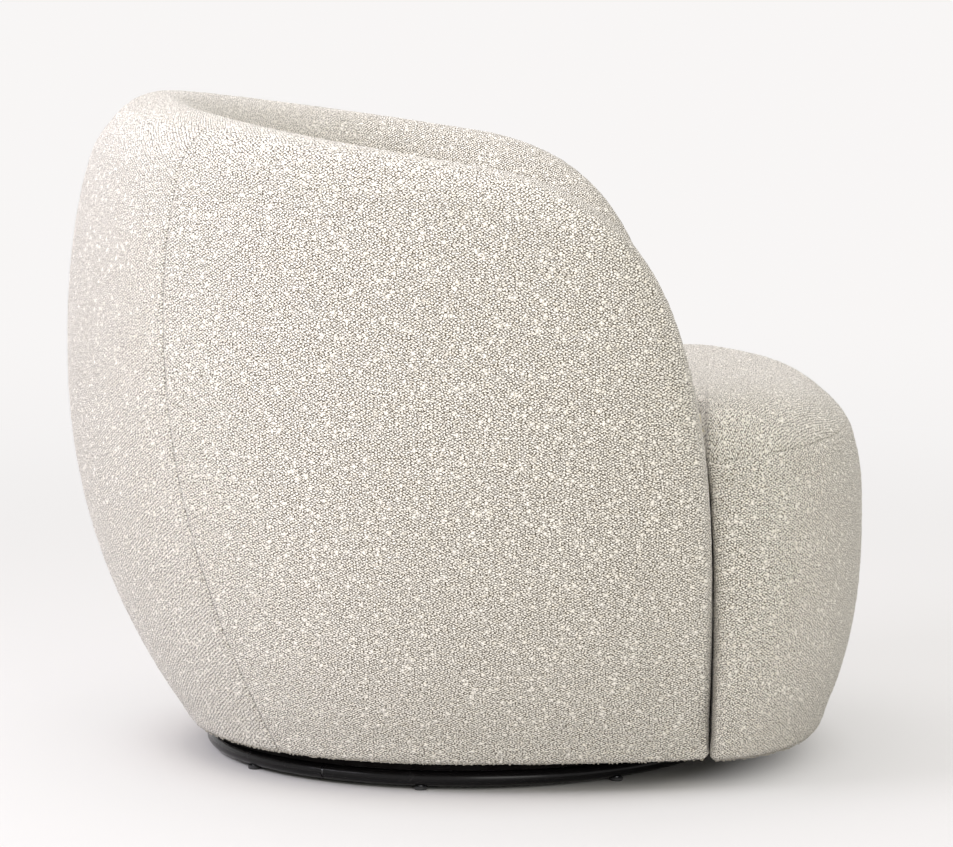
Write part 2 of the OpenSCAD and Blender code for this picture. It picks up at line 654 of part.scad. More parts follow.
module corner_blocks() {
  color(ply) for (side = [0, 1]) mirror([side, 0, 0])
    translate([deck_half_w - deck_rail_t - seat_gap, rail_front, deck_z - deck_rail_h])
      linear_extrude(deck_rail_h - 15) polygon([[0, seat_gap], [-block_w, seat_gap], [0, block_w]]);
}

// Seat springs: flat serpentine wires from the front panel to the back rail
wave_w = 24;
wave_pitch = 44;
spring_y0 = panel_y + 8;
spring_y1 = deck_back - 8;
// Share of the clear width between the side rails that the springs take
spring_share = 0.74;
spring_span = spring_share * 2 * (deck_half_w - deck_rail_t);
function spring_x(i) = spring_count > 1 ? -spring_span / 2 + i * spring_span / (spring_count - 1) : 0;
wave_ease = 20;
function wave(t) =
  let (fade = clamp01(t / wave_ease) * clamp01((spring_y1 - spring_y0 - t) / wave_ease))
  [wave_w * sin(360 * t / wave_pitch) * fade, spring_y0 + t];
function wave_side(t, h) = let (d = wave(t + 0.5) - wave(t - 0.5)) wave(t) + [d[1], -d[0]] / norm(d) * h;
module seat_springs() {
  run = spring_y1 - spring_y0;
  steps = 130;
  ts = [for (i = [0:steps]) 0.6 + (run - 1.2) * i / steps];
  color("#55585c") for (i = [0:spring_count - 1]) translate([spring_x(i), 0, deck_z + 0.2])
    linear_extrude(spring_wire) polygon(concat([for (t = ts) wave_side(t, spring_wire / 2)],
      [for (j = [steps:-1:0]) wave_side(ts[j], -spring_wire / 2)]));
}
clip_w = 16;
clip_t = 1.2;
module spring_clips() {
  color(zinc) for (i = [0:spring_count - 1]) for (y = [panel_y + panel_t / 2, deck_back - deck_rail_t / 2])
    translate([spring_x(i) - clip_w / 2, y - 5, deck_z + 0.2 + spring_wire + 0.1]) cube([clip_w, 10, clip_t]);
}
pad_z = deck_z + spring_wire + 0.3 + clip_t + 0.2;
pad_t = 4;
module spring_pad() {
  color("#9a9388") translate([-deck_half_w + 8, panel_y + 1, pad_z])
    cube([2 * deck_half_w - 16, deck_back - panel_y - 12, pad_t]);
}

// Soft pieces
foam_z = pad_z + pad_t + 0.3;
module seat_foam() {
  c = under_cloth + 4 * soft_gap;
  lower = [for (i = [-SEAT_HALF + 1:SEAT_HALF]) let (p = seat_edge(abs(i), foam_z, c))
    [seat_side(i) * p[0], p[1], foam_z]];
  color(foam) stack(concat([lower], [for (j = [0:SEAT_ROWS - 1]) seat_ring(j, c)]));
}
module seat_cover() {
  n = 2 * SEAT_HALF;
  outer = [for (j = [0:SEAT_ROWS - 1]) seat_ring(j, 0)];
  inner = [for (j = [SEAT_ROWS - 1:-1:0]) seat_ring(j, cloth)];
  color(ivory) hollow(concat(outer, inner), n);
}
// Closed solid whose stacked rings run out over the top and back underneath
module hollow(rings, n) {
  m = len(rings);
  half = m / 2;
  pts = [for (r = rings) each r];
  sides = [for (j = [0:m - 1]) if (j != half - 1) for (i = [0:n - 1])
    let (k = (j + 1) % m, a = j * n + i, b = j * n + (i + 1) % n, c = k * n + (i + 1) % n, d = k * n + i)
    each [[a, c, b], [a, d, c]]];
  top = [[for (i = [n - 1:-1:0]) (half - 1) * n + i]];
  under = [[for (i = [0:n - 1]) half * n + i]];
  polyhedron(pts, concat(sides, top, under), convexity = 6);
}

band_tops = [for (i = [-NOSE_STEPS:NOSE_STEPS]) seam_at(abs(i) / NOSE_STEPS) - soft_gap];
foam_tops = [for (i = [-NOSE_STEPS:NOSE_STEPS]) foam_z - soft_gap];
// Upright sheet round the nose, from a top for each station down to the hem
module nose_sheet(tops, rows, c0, c1) {
  n = NOSE_STEPS;
  outer = [for (i = [0:2 * n]) for (j = [0:rows]) nose(i - n, n, lerp(tops[i], hem_z, j / rows), c0)];
  inner = [for (i = [0:2 * n]) for (j = [0:rows]) nose(i - n, n, lerp(tops[i], hem_z, j / rows), c1)];
  slab(inner, outer, 2 * n + 1, rows + 1);
}
module front_band() { color(ivory) nose_sheet(band_tops, 8, 0, cloth); }
module nose_foam() {
  color(foam) nose_sheet(foam_tops, 6, under_cloth + soft_gap, under_cloth + nose_foam_t);
}

// The upright seams of the back run between two stations
SEAM_K = 4.4;
all_stations = [for (s = [-FOOT:FOOT])
  each s == floor(SEAM_K) ? [s, SEAM_K] : s == -floor(SEAM_K) ? [-SEAM_K, s] : [s]];
function stations(s0, s1) = [for (s = all_stations) if (s >= s0 && s <= s1) s];
module cloth_piece(s0, s1, v0, v1) {
  color(ivory) wall_piece(stations(s0, s1), [for (v = [v0:v1]) v], 0, [for (v = [v0:v1]) cloth]);
}
module inside_cover() { cloth_piece(-FOOT, FOOT, SEAM_ROW, IN_ROWS); }
module outer_cover(s0, s1) { cloth_piece(s0, s1, -OUT_ROWS, SEAM_ROW); }
module outer_back_cover() { outer_cover(-SEAM_K, SEAM_K); }
module outer_left_cover() { outer_cover(SEAM_K, FOOT); }
module outer_right_cover() { outer_cover(-FOOT, -SEAM_K); }

// Foam of the tub: one piece over the crest and the lining and one wrap outside, for the back and each arm
glue_step = 0.02;
back_stations = stations(-TOP, TOP);
arm_stations = concat([TOP + glue_step], stations(TOP + 1, FOOT));
lining_rows = [for (v = [-ROUND:IN_ROWS]) v];
wrap_rows = concat([for (v = [-OUT_ROWS:-ROUND - 1]) v], [-ROUND - glue_step]);
module foam_piece(stations, rows) {
  color(foam) wall_piece(stations, rows, under_cloth, [for (v = rows) foam_in(v)]);
}
function mirrored(stations) = [for (i = [len(stations) - 1:-1:0]) -stations[i]];
module back_foam() { foam_piece(back_stations, lining_rows); }
module arm_foam_left() { foam_piece(arm_stations, lining_rows); }
module arm_foam_right() { foam_piece(mirrored(arm_stations), lining_rows); }
module back_wrap_foam() { foam_piece(back_stations, wrap_rows); }
module side_wrap_foam_left() { foam_piece(arm_stations, wrap_rows); }
module side_wrap_foam_right() { foam_piece(mirrored(arm_stations), wrap_rows); }

ring_half_left();
ring_half_right();
ring_spigots();
cross_bar_long();
cross_bars_short();
lower_plate();
lower_plate_bolts();
king_pin();
king_nut();
glides();
glide_studs();
ball_cage();
bearing_balls();
upper_plate();
upper_plate_bolts();
tee_nuts();
bottom_board();
dust_cover();
plinth_hoop();
back_ribs();
arm_ribs();
crest_rail();
arm_post_left();
arm_post_right();
side_rails();
back_rail();
front_panel();
nose_shelves();
corner_blocks();
seat_springs();
spring_clips();
spring_pad();
seat_foam();
nose_foam();
back_foam();
arm_foam_left();
arm_foam_right();
back_wrap_foam();
side_wrap_foam_left();
side_wrap_foam_right();
inside_cover();
outer_back_cover();
outer_left_cover();
outer_right_cover();
seat_cover();
front_band();
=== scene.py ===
"""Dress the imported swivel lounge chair: cloth covers, padding, seams, staples, wood, metal and studio."""

import json
import logging
import math
from dataclasses import dataclass, field, replace
from enum import Enum
from typing import Callable, Sequence

import bpy
import numpy as np
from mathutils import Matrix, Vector


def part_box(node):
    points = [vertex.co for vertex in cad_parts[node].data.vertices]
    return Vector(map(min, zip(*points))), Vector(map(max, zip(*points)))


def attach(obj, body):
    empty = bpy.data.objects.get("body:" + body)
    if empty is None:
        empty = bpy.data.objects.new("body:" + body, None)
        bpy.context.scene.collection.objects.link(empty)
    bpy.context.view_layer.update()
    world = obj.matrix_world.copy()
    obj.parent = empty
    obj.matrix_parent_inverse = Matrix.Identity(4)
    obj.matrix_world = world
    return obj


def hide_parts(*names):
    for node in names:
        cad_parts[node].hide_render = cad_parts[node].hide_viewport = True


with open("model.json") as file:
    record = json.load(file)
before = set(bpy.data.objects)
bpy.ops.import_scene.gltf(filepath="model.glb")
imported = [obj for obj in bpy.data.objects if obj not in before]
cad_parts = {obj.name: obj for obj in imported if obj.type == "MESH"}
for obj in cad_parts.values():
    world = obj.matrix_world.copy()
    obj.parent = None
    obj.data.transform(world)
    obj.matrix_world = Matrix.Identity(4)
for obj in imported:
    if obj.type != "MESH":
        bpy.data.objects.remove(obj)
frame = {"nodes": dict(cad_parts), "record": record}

logging.basicConfig(level=logging.INFO, format="%(message)s")
log = logging.getLogger("chair")

CHAIR = "chair"
Colour = tuple[float, float, float]
Vec = tuple[float, float, float]
Seams = tuple[float, float, float, float]
Line = Callable[[np.ndarray], np.ndarray]
NO_SEAM: Seams = (0.0, 0.0, 0.0, 0.0)
CLOTH_FILL = 0.8
FOAM_FILL = 0.9
TINY = 1e-12
MEASURE_POINTS = 600


def blend(a: np.ndarray, b: np.ndarray, t: np.ndarray) -> np.ndarray:
    """Return the values t of the way from a to b."""
    return a + (b - a) * t


def unit(t: np.ndarray) -> np.ndarray:
    """Return t held between 0 and 1."""
    return np.clip(t, 0.0, 1.0)


def ease(t: np.ndarray) -> np.ndarray:
    """Return t held between 0 and 1, with a soft start and end."""
    held = unit(t)
    return held * held * (3 - 2 * held)


def bezier(points: Sequence[np.ndarray], t: np.ndarray) -> np.ndarray:
    """Return points of a cubic curve.

    Args:
        points: The curve's four control points, each with its coordinates in the last axis.
        t: Share of the curve for each point, without the coordinate axis.

    Returns:
        The points at t.
    """
    u = t[..., None]
    a, b, c, d = points
    return (1 - u) ** 3 * a + 3 * (1 - u) ** 2 * u * b + 3 * (1 - u) * u * u * c + u**3 * d


class Part(Enum):
    """Side of the tub's wall, seen from its crest."""

    OUTSIDE = -1
    INSIDE = 1


@dataclass(frozen=True)
class TubForm:
    """Rules of the tub's wall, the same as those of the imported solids, in metres and degrees.

    A station runs along the crest from 0 at the middle of the back to `foot` at the lower end of the arm
    front, and is negative on the chair's right. A row is negative outside and positive inside.
    """

    back_h: float = 0.710
    arm_h: float = 0.650
    half_w: float = 0.425
    back_r: float = 0.427
    full_z: float = 0.430
    back_tuck: float = 0.155
    side_tuck: float = 0.140
    back_draw: float = 0.047
    arm_front: float = 0.251
    bend_reach: float = 0.200
    hem_z: float = 0.032
    seat_h: float = 0.412
    seat_half_w: float = 0.297
    seat_back: float = 0.170
    plan_n: float = 2.2
    tuck_n: float = 2.15
    draw_n: float = 2.3
    wide_y: float = -0.018
    outer_reach: float = 0.480
    inner_reach: float = 0.900
    degree: float = 0.0064
    arm_lean: float = 0.16
    back_lean: float = 0.35
    bend_low: float = 0.110
    bend_rise: float = 0.340
    corner: float = 0.006
    lining_z: float = 0.350
    lining_depth: float = 0.040
    lining_floor: float = 0.0562
    crest_back: float = 0.070
    crest_arm: float = 0.042
    crest_front: float = 0.026
    top: int = 9
    bend: int = 18
    foot: int = 22
    front_steps: int = 7
    hem_pitch: float = 11.0
    lining_spread: float = 1.03
    slope_step: float = 0.05
    chart_steps: int = 300
    round_rows: int = 5
    out_rows: int = 12
    in_rows: int = 9

    @property
    def front_a(self) -> float:
        """Return the crest angle of the arm's front edge."""
        return 90 + (self.arm_front + self.wide_y) / self.degree

    @property
    def crest_fall(self) -> float:
        """Return the crest's slope at the widest part of the arm."""
        return (self.back_h - self.arm_h) * math.pi / 180 / self.degree

    def shrink(self, z: np.ndarray) -> np.ndarray:
        """Return how far the outside lies within its fullest outline at height z, at the back."""
        low = self.back_tuck * unit((self.full_z - z) / self.full_z) ** self.tuck_n
        high = self.back_draw * unit((z - self.full_z) / (self.back_h - self.full_z)) ** self.draw_n
        return np.where(z < self.full_z, low, high)

    def plan(self, w: np.ndarray, b: np.ndarray, reach: float, a: np.ndarray) -> np.ndarray:
        """Return points of a rounded outline seen from above.

        Args:
            w: Half width of the outline.
            b: Reach of the outline behind its widest part.
            reach: Reach of the outline in front, if it closed there.
            a: Crest angle of each point, in degrees.

        Returns:
            The points as x and y.
        """
        n = self.plan_n
        t = np.radians(np.minimum(a, 90.0))
        r = ((np.sin(t) / w) ** n + (np.cos(t) / b) ** n) ** (-1 / n)
        ahead = np.maximum(a - 90, 0) * self.degree
        x = np.where(a <= 90, r * np.sin(t), w * (1 - (ahead / reach) ** n) ** (1 / n))
        y = np.where(a <= 90, r * np.cos(t), -ahead)
        return np.stack([x, y + self.wide_y], -1)

    def outer(self, a: np.ndarray, z: np.ndarray) -> np.ndarray:
        """Return points of the outside at the crest angle a and height z."""
        shrink = self.shrink(z)
        w = self.half_w - shrink * self.side_tuck / self.back_tuck
        return self.plan(w, self.back_r - self.wide_y - shrink, self.outer_reach, a)

    def inner(self, a: np.ndarray, z: np.ndarray) -> np.ndarray:
        """Return points of the inside at the crest angle a and height z."""
        rise = z - self.seat_h
        w = self.seat_half_w + rise * self.arm_lean
        return self.plan(w, self.seat_back - self.wide_y + rise * self.back_lean, self.inner_reach, a)

    def crest_edge(self, k: np.ndarray) -> np.ndarray:
        """Return points of the crest line, as length along the crest and height."""
        a = 90 * np.minimum(k, self.top) / self.top
        height = self.arm_h + (self.back_h - self.arm_h) * np.cos(np.radians(a))
        crest = np.stack([a * self.degree, height], -1)
        mid, front = 90 * self.degree, self.front_a * self.degree
        hold = [
            np.array([mid, self.arm_h]),
            np.array([mid + self.bend_reach, self.arm_h - self.crest_fall * self.bend_reach]),
            np.array([front, self.bend_low + self.bend_rise]),
            np.array([front, self.bend_low]),
        ]
        bend = bezier(hold, unit((k - self.top) / (self.bend - self.top)))
        fall = (k - self.bend) / (self.foot - self.bend)
        post = np.stack([np.full_like(k, front), blend(self.bend_low, self.hem_z + self.corner, fall)], -1)
        return np.where((k <= self.top)[..., None], crest, np.where((k <= self.bend)[..., None], bend, post))

    def inward(self, k: np.ndarray) -> np.ndarray:
        """Return the unit direction from the crest line into the wall."""
        ahead, behind = np.minimum(self.foot, k + self.slope_step), np.maximum(0, k - self.slope_step)
        step = self.crest_edge(ahead) - self.crest_edge(behind)
        turned = np.stack([step[..., 1], -step[..., 0]], -1)
        return turned / np.linalg.norm(turned, axis=-1, keepdims=True)

    def target(self, k: np.ndarray, part: Part) -> np.ndarray:
        """Return where the line from a station ends: at the hem outside, below the seat inside.

        Args:
            k: Stations, never negative.
            part: Side of the wall.

        Returns:
            Length along the crest and height of each end.
        """
        if part is Part.OUTSIDE:
            late = blend(self.hem_pitch * self.top, self.front_a, (k - self.top) / (self.foot - self.top))
            a = np.where(k <= self.top, self.hem_pitch * k, late)
            x = self.degree * a - self.corner * np.maximum(0, k - self.bend) / (self.foot - self.bend)
            return np.stack([x, np.full_like(x, self.hem_z)], -1)
        start = self.lining_spread * self.degree * 90 / self.top * np.minimum(k, self.top)
        front = self.front_a * self.degree - self.lining_depth
        x = blend(start, front, unit((k - self.top) / (self.bend - self.top)))
        z = np.maximum(np.minimum(self.lining_z, self.crest_edge(k)[..., 1]), self.lining_floor)
        return np.stack([x, z], -1)

    def rounding(self, k: np.ndarray) -> np.ndarray:
        """Return the depth of the rounding at the crest."""
        turned = np.sin(np.radians(90 * np.minimum(k, self.top) / self.top))
        back = blend(self.crest_back, self.crest_arm, turned)
        front = blend(self.crest_arm, self.crest_front, unit((k - self.top) / self.front_steps))
        return np.where(k <= self.top, back, front)

    def flat(self, k: np.ndarray, part: Part, c: float, row: np.ndarray) -> tuple[np.ndarray, np.ndarray]:
        """Return places on one side of the wall as if it were rolled out flat.

        Args:
            k: Station of each column, never negative.
            part: Side of the wall.
            c: Depth under the outer skin.
            row: Row of each point in a column, never negative.

        Returns:
            Length along the crest and height of each place, and the share of the wall's thickness there.
        """
        start = self.crest_edge(k) + self.inward(k) * c
        end = self.target(k, part)
        way = np.linalg.norm(end - start, axis=-1)
        depth = np.minimum(self.rounding(k), way / 2)
        last = self.out_rows if part is Part.OUTSIDE else self.in_rows
        turn = np.radians(90 * unit(row / self.round_rows))
        late = unit((row - self.round_rows) / (last - self.round_rows))
        d = depth[:, None] * (1 - np.cos(turn))[None, :] + (way - depth)[:, None] * late[None, :]
        bulge = np.sin(turn)[None, :]
        if part is Part.OUTSIDE:
            hold = end + np.stack([np.zeros_like(way), way / 3], -1)
        else:
            hold = end + (start - end) / 3
        line = [start, start + self.inward(k) * (way / 3)[:, None], hold, end]
        return bezier([p[:, None, :] for p in line], unit(d / way[:, None])), bulge

    def wall(self, k: np.ndarray, part: Part, c: float, row: np.ndarray) -> np.ndarray:
        """Return points of the wall on one side of the crest, for the same values as `flat`."""
        q, bulge = self.flat(k, part, c, row)
        a = np.maximum(0, q[..., 0]) / self.degree
        outside, inside = self.outer(a, q[..., 1]), self.inner(a, q[..., 1])
        middle = (outside + inside) / 2
        half = (outside if part is Part.OUTSIDE else inside) - middle
        share = bulge * (1 - c / np.linalg.norm(half, axis=-1))
        return np.concatenate([middle + half * share[..., None], q[..., 1:2]], -1)

    def skin(self, stations: np.ndarray, rows: np.ndarray,
             depth: Callable[[float], float] = lambda row: 0.0) -> np.ndarray:
        """Return a grid of points of the tub.

        Args:
            stations: Stations of the columns, negative on the chair's right.
            rows: Rows of the grid, negative outside.
            depth: Depth under the outer skin for each row.

        Returns:
            The points in an array of stations by rows by coordinates.
        """
        k = np.abs(stations)
        columns = []
        for row in rows:
            part = Part.OUTSIDE if row < 0 else Part.INSIDE
            columns.append(self.wall(k, part, depth(row), np.array([abs(row)]))[:, 0])
        grid = np.stack(columns, 1)
        grid[..., 0] *= np.sign(stations)[:, None]
        return grid

    def outside_chart(self, stations: np.ndarray, rows: np.ndarray, middle: float) -> np.ndarray:
        """Return the cloth's own map of an outside panel, upright along its middle.

        Args:
            stations: Stations of the columns.
            rows: Rows of the grid, all negative.
            middle: Crest angle of the panel's middle.

        Returns:
            The map in metres.
        """
        q, _ = self.flat(np.abs(stations), Part.OUTSIDE, 0.0, np.abs(rows))
        a, z = q[..., 0] / self.degree, q[..., 1]
        reach = (self.half_w + self.back_r - self.wide_y) / 2 - self.shrink(z)
        ahead = np.maximum(a - 90.0, 0) * self.degree
        turned = (np.minimum(a, 90.0) - middle) * np.radians(1.0) * reach + ahead
        heights = np.linspace(self.hem_z, self.back_h, self.chart_steps)
        v = np.interp(z, heights, run_along(np.stack([heights, self.shrink(heights)], -1)))
        return np.stack([turned * np.sign(stations + TINY)[:, None], v], -1)

    def inside_chart(self, stations: np.ndarray, rows: np.ndarray) -> np.ndarray:
        """Return the cloth's own map of the inside cloth, which rolls over the crest.

        Args:
            stations: Stations of the columns.
            rows: Rows of the grid, from outside the crest to the lower edge of the lining.

        Returns:
            The map in metres.
        """
        k = np.abs(stations)
        run = run_along(self.skin(stations, rows), 1)
        turn = int(np.searchsorted(rows, self.round_rows))
        beyond = np.maximum(run[:, turn:turn + 1] - run, 0)
        q, _ = self.flat(k, Part.INSIDE, 0.0, np.maximum(rows, rows[turn]))
        chart = q - self.inward(k)[:, None] * beyond[..., None]
        chart[..., 0] *= np.sign(stations)[:, None]
        return chart


@dataclass(frozen=True)
class SeatForm:
    """Rules of the seat and of the nose in front of the arms.

    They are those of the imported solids, but for the middle `seat_y`. No line from there to the outline
    crosses another, so the cloth of the seat has no fold.
    """

    tub: TubForm = TubForm()
    seat_h: float = 0.412
    seam_z: float = 0.3475
    seam_rise: float = 0.015
    nose_r: float = 0.427
    nose_half_w: float = 0.340
    nose_y: float = -0.203
    nose_n: float = 2.4
    joint_gap: float = 0.0015
    joint_round: float = 0.014
    shoulder_z: float = 0.280
    shoulder_in: float = 0.168
    shoulder_n: float = 2.92
    nose_tuck_z: float = 0.254
    nose_tuck: float = 0.060
    crease_z: float = 0.370
    crease_in: float = 0.060
    edge_round: float = 0.020
    seat_clear: float = 0.004
    seat_y: float = -0.260
    slope: float = 0.06
    nose_steps: int = 10
    seat_steps: int = 9
    blend_steps: int = 3
    joint_station: int = 12

    def joint_y(self, z: np.ndarray) -> np.ndarray:
        """Return the y of the joint between the nose and the arm front at height z."""
        steps = 2 * (self.tub.foot - self.joint_station) + 1
        line = self.tub.crest_edge(np.linspace(self.tub.foot, self.joint_station, steps))
        ahead = self.tub.wide_y + 90 * self.tub.degree - line[:, 0]
        return np.interp(z, line[:, 1], ahead) - self.joint_gap

    @property
    def half(self) -> int:
        """Return the last station of the seat's half outline."""
        return self.nose_steps + 1 + self.seat_steps

    def seam(self, t: np.ndarray) -> np.ndarray:
        """Return the height of the seam round the nose, from t = 0 at the front to 1 at the arm."""
        return self.seam_z + self.seam_rise * (1 - unit(t) ** 2)

    def inset(self, z: np.ndarray) -> np.ndarray:
        """Return how far the nose lies within its fullest outline at height z."""
        z = np.asarray(z, float)
        up = unit((z - self.shoulder_z) / (self.seat_h - self.shoulder_z))
        low = unit((self.nose_tuck_z - z) / self.nose_tuck_z)
        return (self.shoulder_in * (1 - (1 - up**self.shoulder_n) ** (1 / self.shoulder_n))
                + self.nose_tuck * low**self.tub.draw_n)

    def nose(self, t: np.ndarray, z: np.ndarray, c: float = 0.0,
             level: np.ndarray | None = None) -> np.ndarray:
        """Return points round the nose.

        Args:
            t: Share of the way from the front to the joint with the arm.
            z: Height of the points.
            c: Depth under the outer skin.
            level: Height that sets how far the points lie within the fullest outline, if it isn't z.

        Returns:
            The points as x and y.
        """
        inset = self.inset(z if level is None else level) + c
        w = self.nose_half_w - inset
        f = self.nose_r + self.nose_y - inset
        joint = self.joint_y(z)
        last = np.arccos(((self.nose_y - joint) / f) ** (self.nose_n / 2))
        b = t * last
        y = self.nose_y - f * np.cos(b) ** (2 / self.nose_n)
        near = unit((joint - y) / self.joint_round)
        back = self.joint_round * (1 - np.sqrt(1 - (1 - near) ** 2))
        return np.stack([w * np.sin(b) ** (2 / self.nose_n) - back, y], -1)

    def edge(self, i: np.ndarray, z: float, c: float) -> np.ndarray:
        """Return the seat's outline, from the front round the nose and along the arm to the back.

        Args:
            i: Stations of the outline, from 0 to `half`.
            z: Height of the outline, which follows the seam where that is lower.
            c: Depth under the outer skin.

        Returns:
            The points as x and y.
        """
        steps = self.nose_steps
        seam = self.seam(i / steps)
        first = self.nose(unit(i / steps), np.minimum(seam, z), c, seam)
        a0 = 90 + (self.tub.wide_y - self.joint_y(self.seam_z) - self.seat_clear) / self.tub.degree
        a = blend(a0, 0.0, unit((i - steps - 1) / self.seat_steps))
        middle = np.array([0.0, self.tub.wide_y])
        p = self.tub.inner(a, np.full_like(a, z)) - middle
        later = middle + p * (1 - (self.seat_clear + c) / np.linalg.norm(p, axis=-1, keepdims=True))
        return np.where((i <= steps)[:, None], first, blend(first, later, unit(i - steps)[:, None]))

    def crown(self, stations: np.ndarray, shares: np.ndarray, c: float) -> np.ndarray:
        """Return a grid of points of the seat's top.

        Args:
            stations: Stations round the outline, negative on the chair's right.
            shares: Share of the way from the middle of the seat to its outline, one for each row.
            c: Depth under the outer skin.

        Returns:
            The points in an array of stations by rows by coordinates.
        """
        i = np.abs(stations)
        e = self.edge(i, self.crease_z, c)
        middle = np.array([0.0, self.seat_y])
        p = middle + (e - middle)[:, None] * shares[None, :, None]
        d = np.linalg.norm(e[:, None] - p, axis=-1)
        end = self.nose_steps + self.blend_steps
        wide = ease((end + 1 - i) / self.nose_steps)
        low = ease((end - i) / self.blend_steps)
        seam = self.seam(i / self.nose_steps)
        start = (self.inset(seam) / self.shoulder_in)[:, None]
        edge_z = blend(self.crease_z, seam, low)[:, None]
        top = self.seat_h - self.slope * np.maximum(0, p[..., 1] + self.tub.arm_front)
        width = blend(self.crease_in, self.shoulder_in, wide)[:, None]
        r0, r = self.rise(start), self.rise(d / width + start)
        z = edge_z + (top - edge_z) * (r - r0) / (1 - r0) - c * unit(d / self.edge_round)
        grid = np.concatenate([p, z[..., None]], -1)
        grid[..., 0] *= np.sign(stations)[:, None]
        return grid

    def rise(self, share: np.ndarray) -> np.ndarray:
        """Return the share of the crown's full height at a share of its rounding."""
        n = self.shoulder_n
        return (1 - (1 - unit(share)) ** n) ** (1 / n)


def run_along(points: np.ndarray, axis: int = 0) -> np.ndarray:
    """Return the length along each line of a grid of points, from the line's first point.

    Args:
        points: The points, with their coordinates in the last axis.
        axis: The axis that the lines follow.

    Returns:
        The length at each point.
    """
    steps = np.linalg.norm(np.diff(points, axis=axis), axis=-1)
    return np.concatenate([np.zeros_like(steps.take([0], axis)), np.cumsum(steps, axis)], axis)


def spread(length: float, step: float, near: Sequence[float]) -> np.ndarray:
    """Return distances from 0 to length that lie closer together beside a seam.

    Args:
        length: Whole length in metres.
        step: Distance between two values away from a seam.
        near: How plain a seam the start and the end are.

    Returns:
        The distances.
    """
    close = np.array([0.0, 0.0009, 0.0018, 0.003, 0.0045, 0.0065, 0.009])
    start = close if near[0] else np.zeros(1)
    end = length - close[::-1] if near[1] else np.array([length])
    count = max(2, round((end[0] - start[-1]) / step) + 1)
    return np.concatenate([start[:-1], np.linspace(start[-1], end[0], count), end[1:]])


def divided(line: Line, lo: float, hi: float, step: float, near: Sequence[float] = (0.0, 0.0)) -> np.ndarray:
    """Return parameters whose points divide a line, closer together beside a seam.

    Args:
        line: Gives the points of the line at some parameters.
        lo: First parameter.
        hi: Last parameter.
        step: Distance between two points away from a seam.
        near: How plain a seam the start and the end are.

    Returns:
        The parameters.
    """
    t = np.linspace(lo, hi, MEASURE_POINTS)
    run = run_along(line(t))
    found = np.interp(spread(run[-1], step, near), run, t)
    found[0], found[-1] = lo, hi
    return found


def every(pitch: int, last: int) -> np.ndarray:
    """Return whole numbers from 0 that lie this far apart, and the last one."""
    return np.unique(np.append(np.arange(0, last, pitch), last))


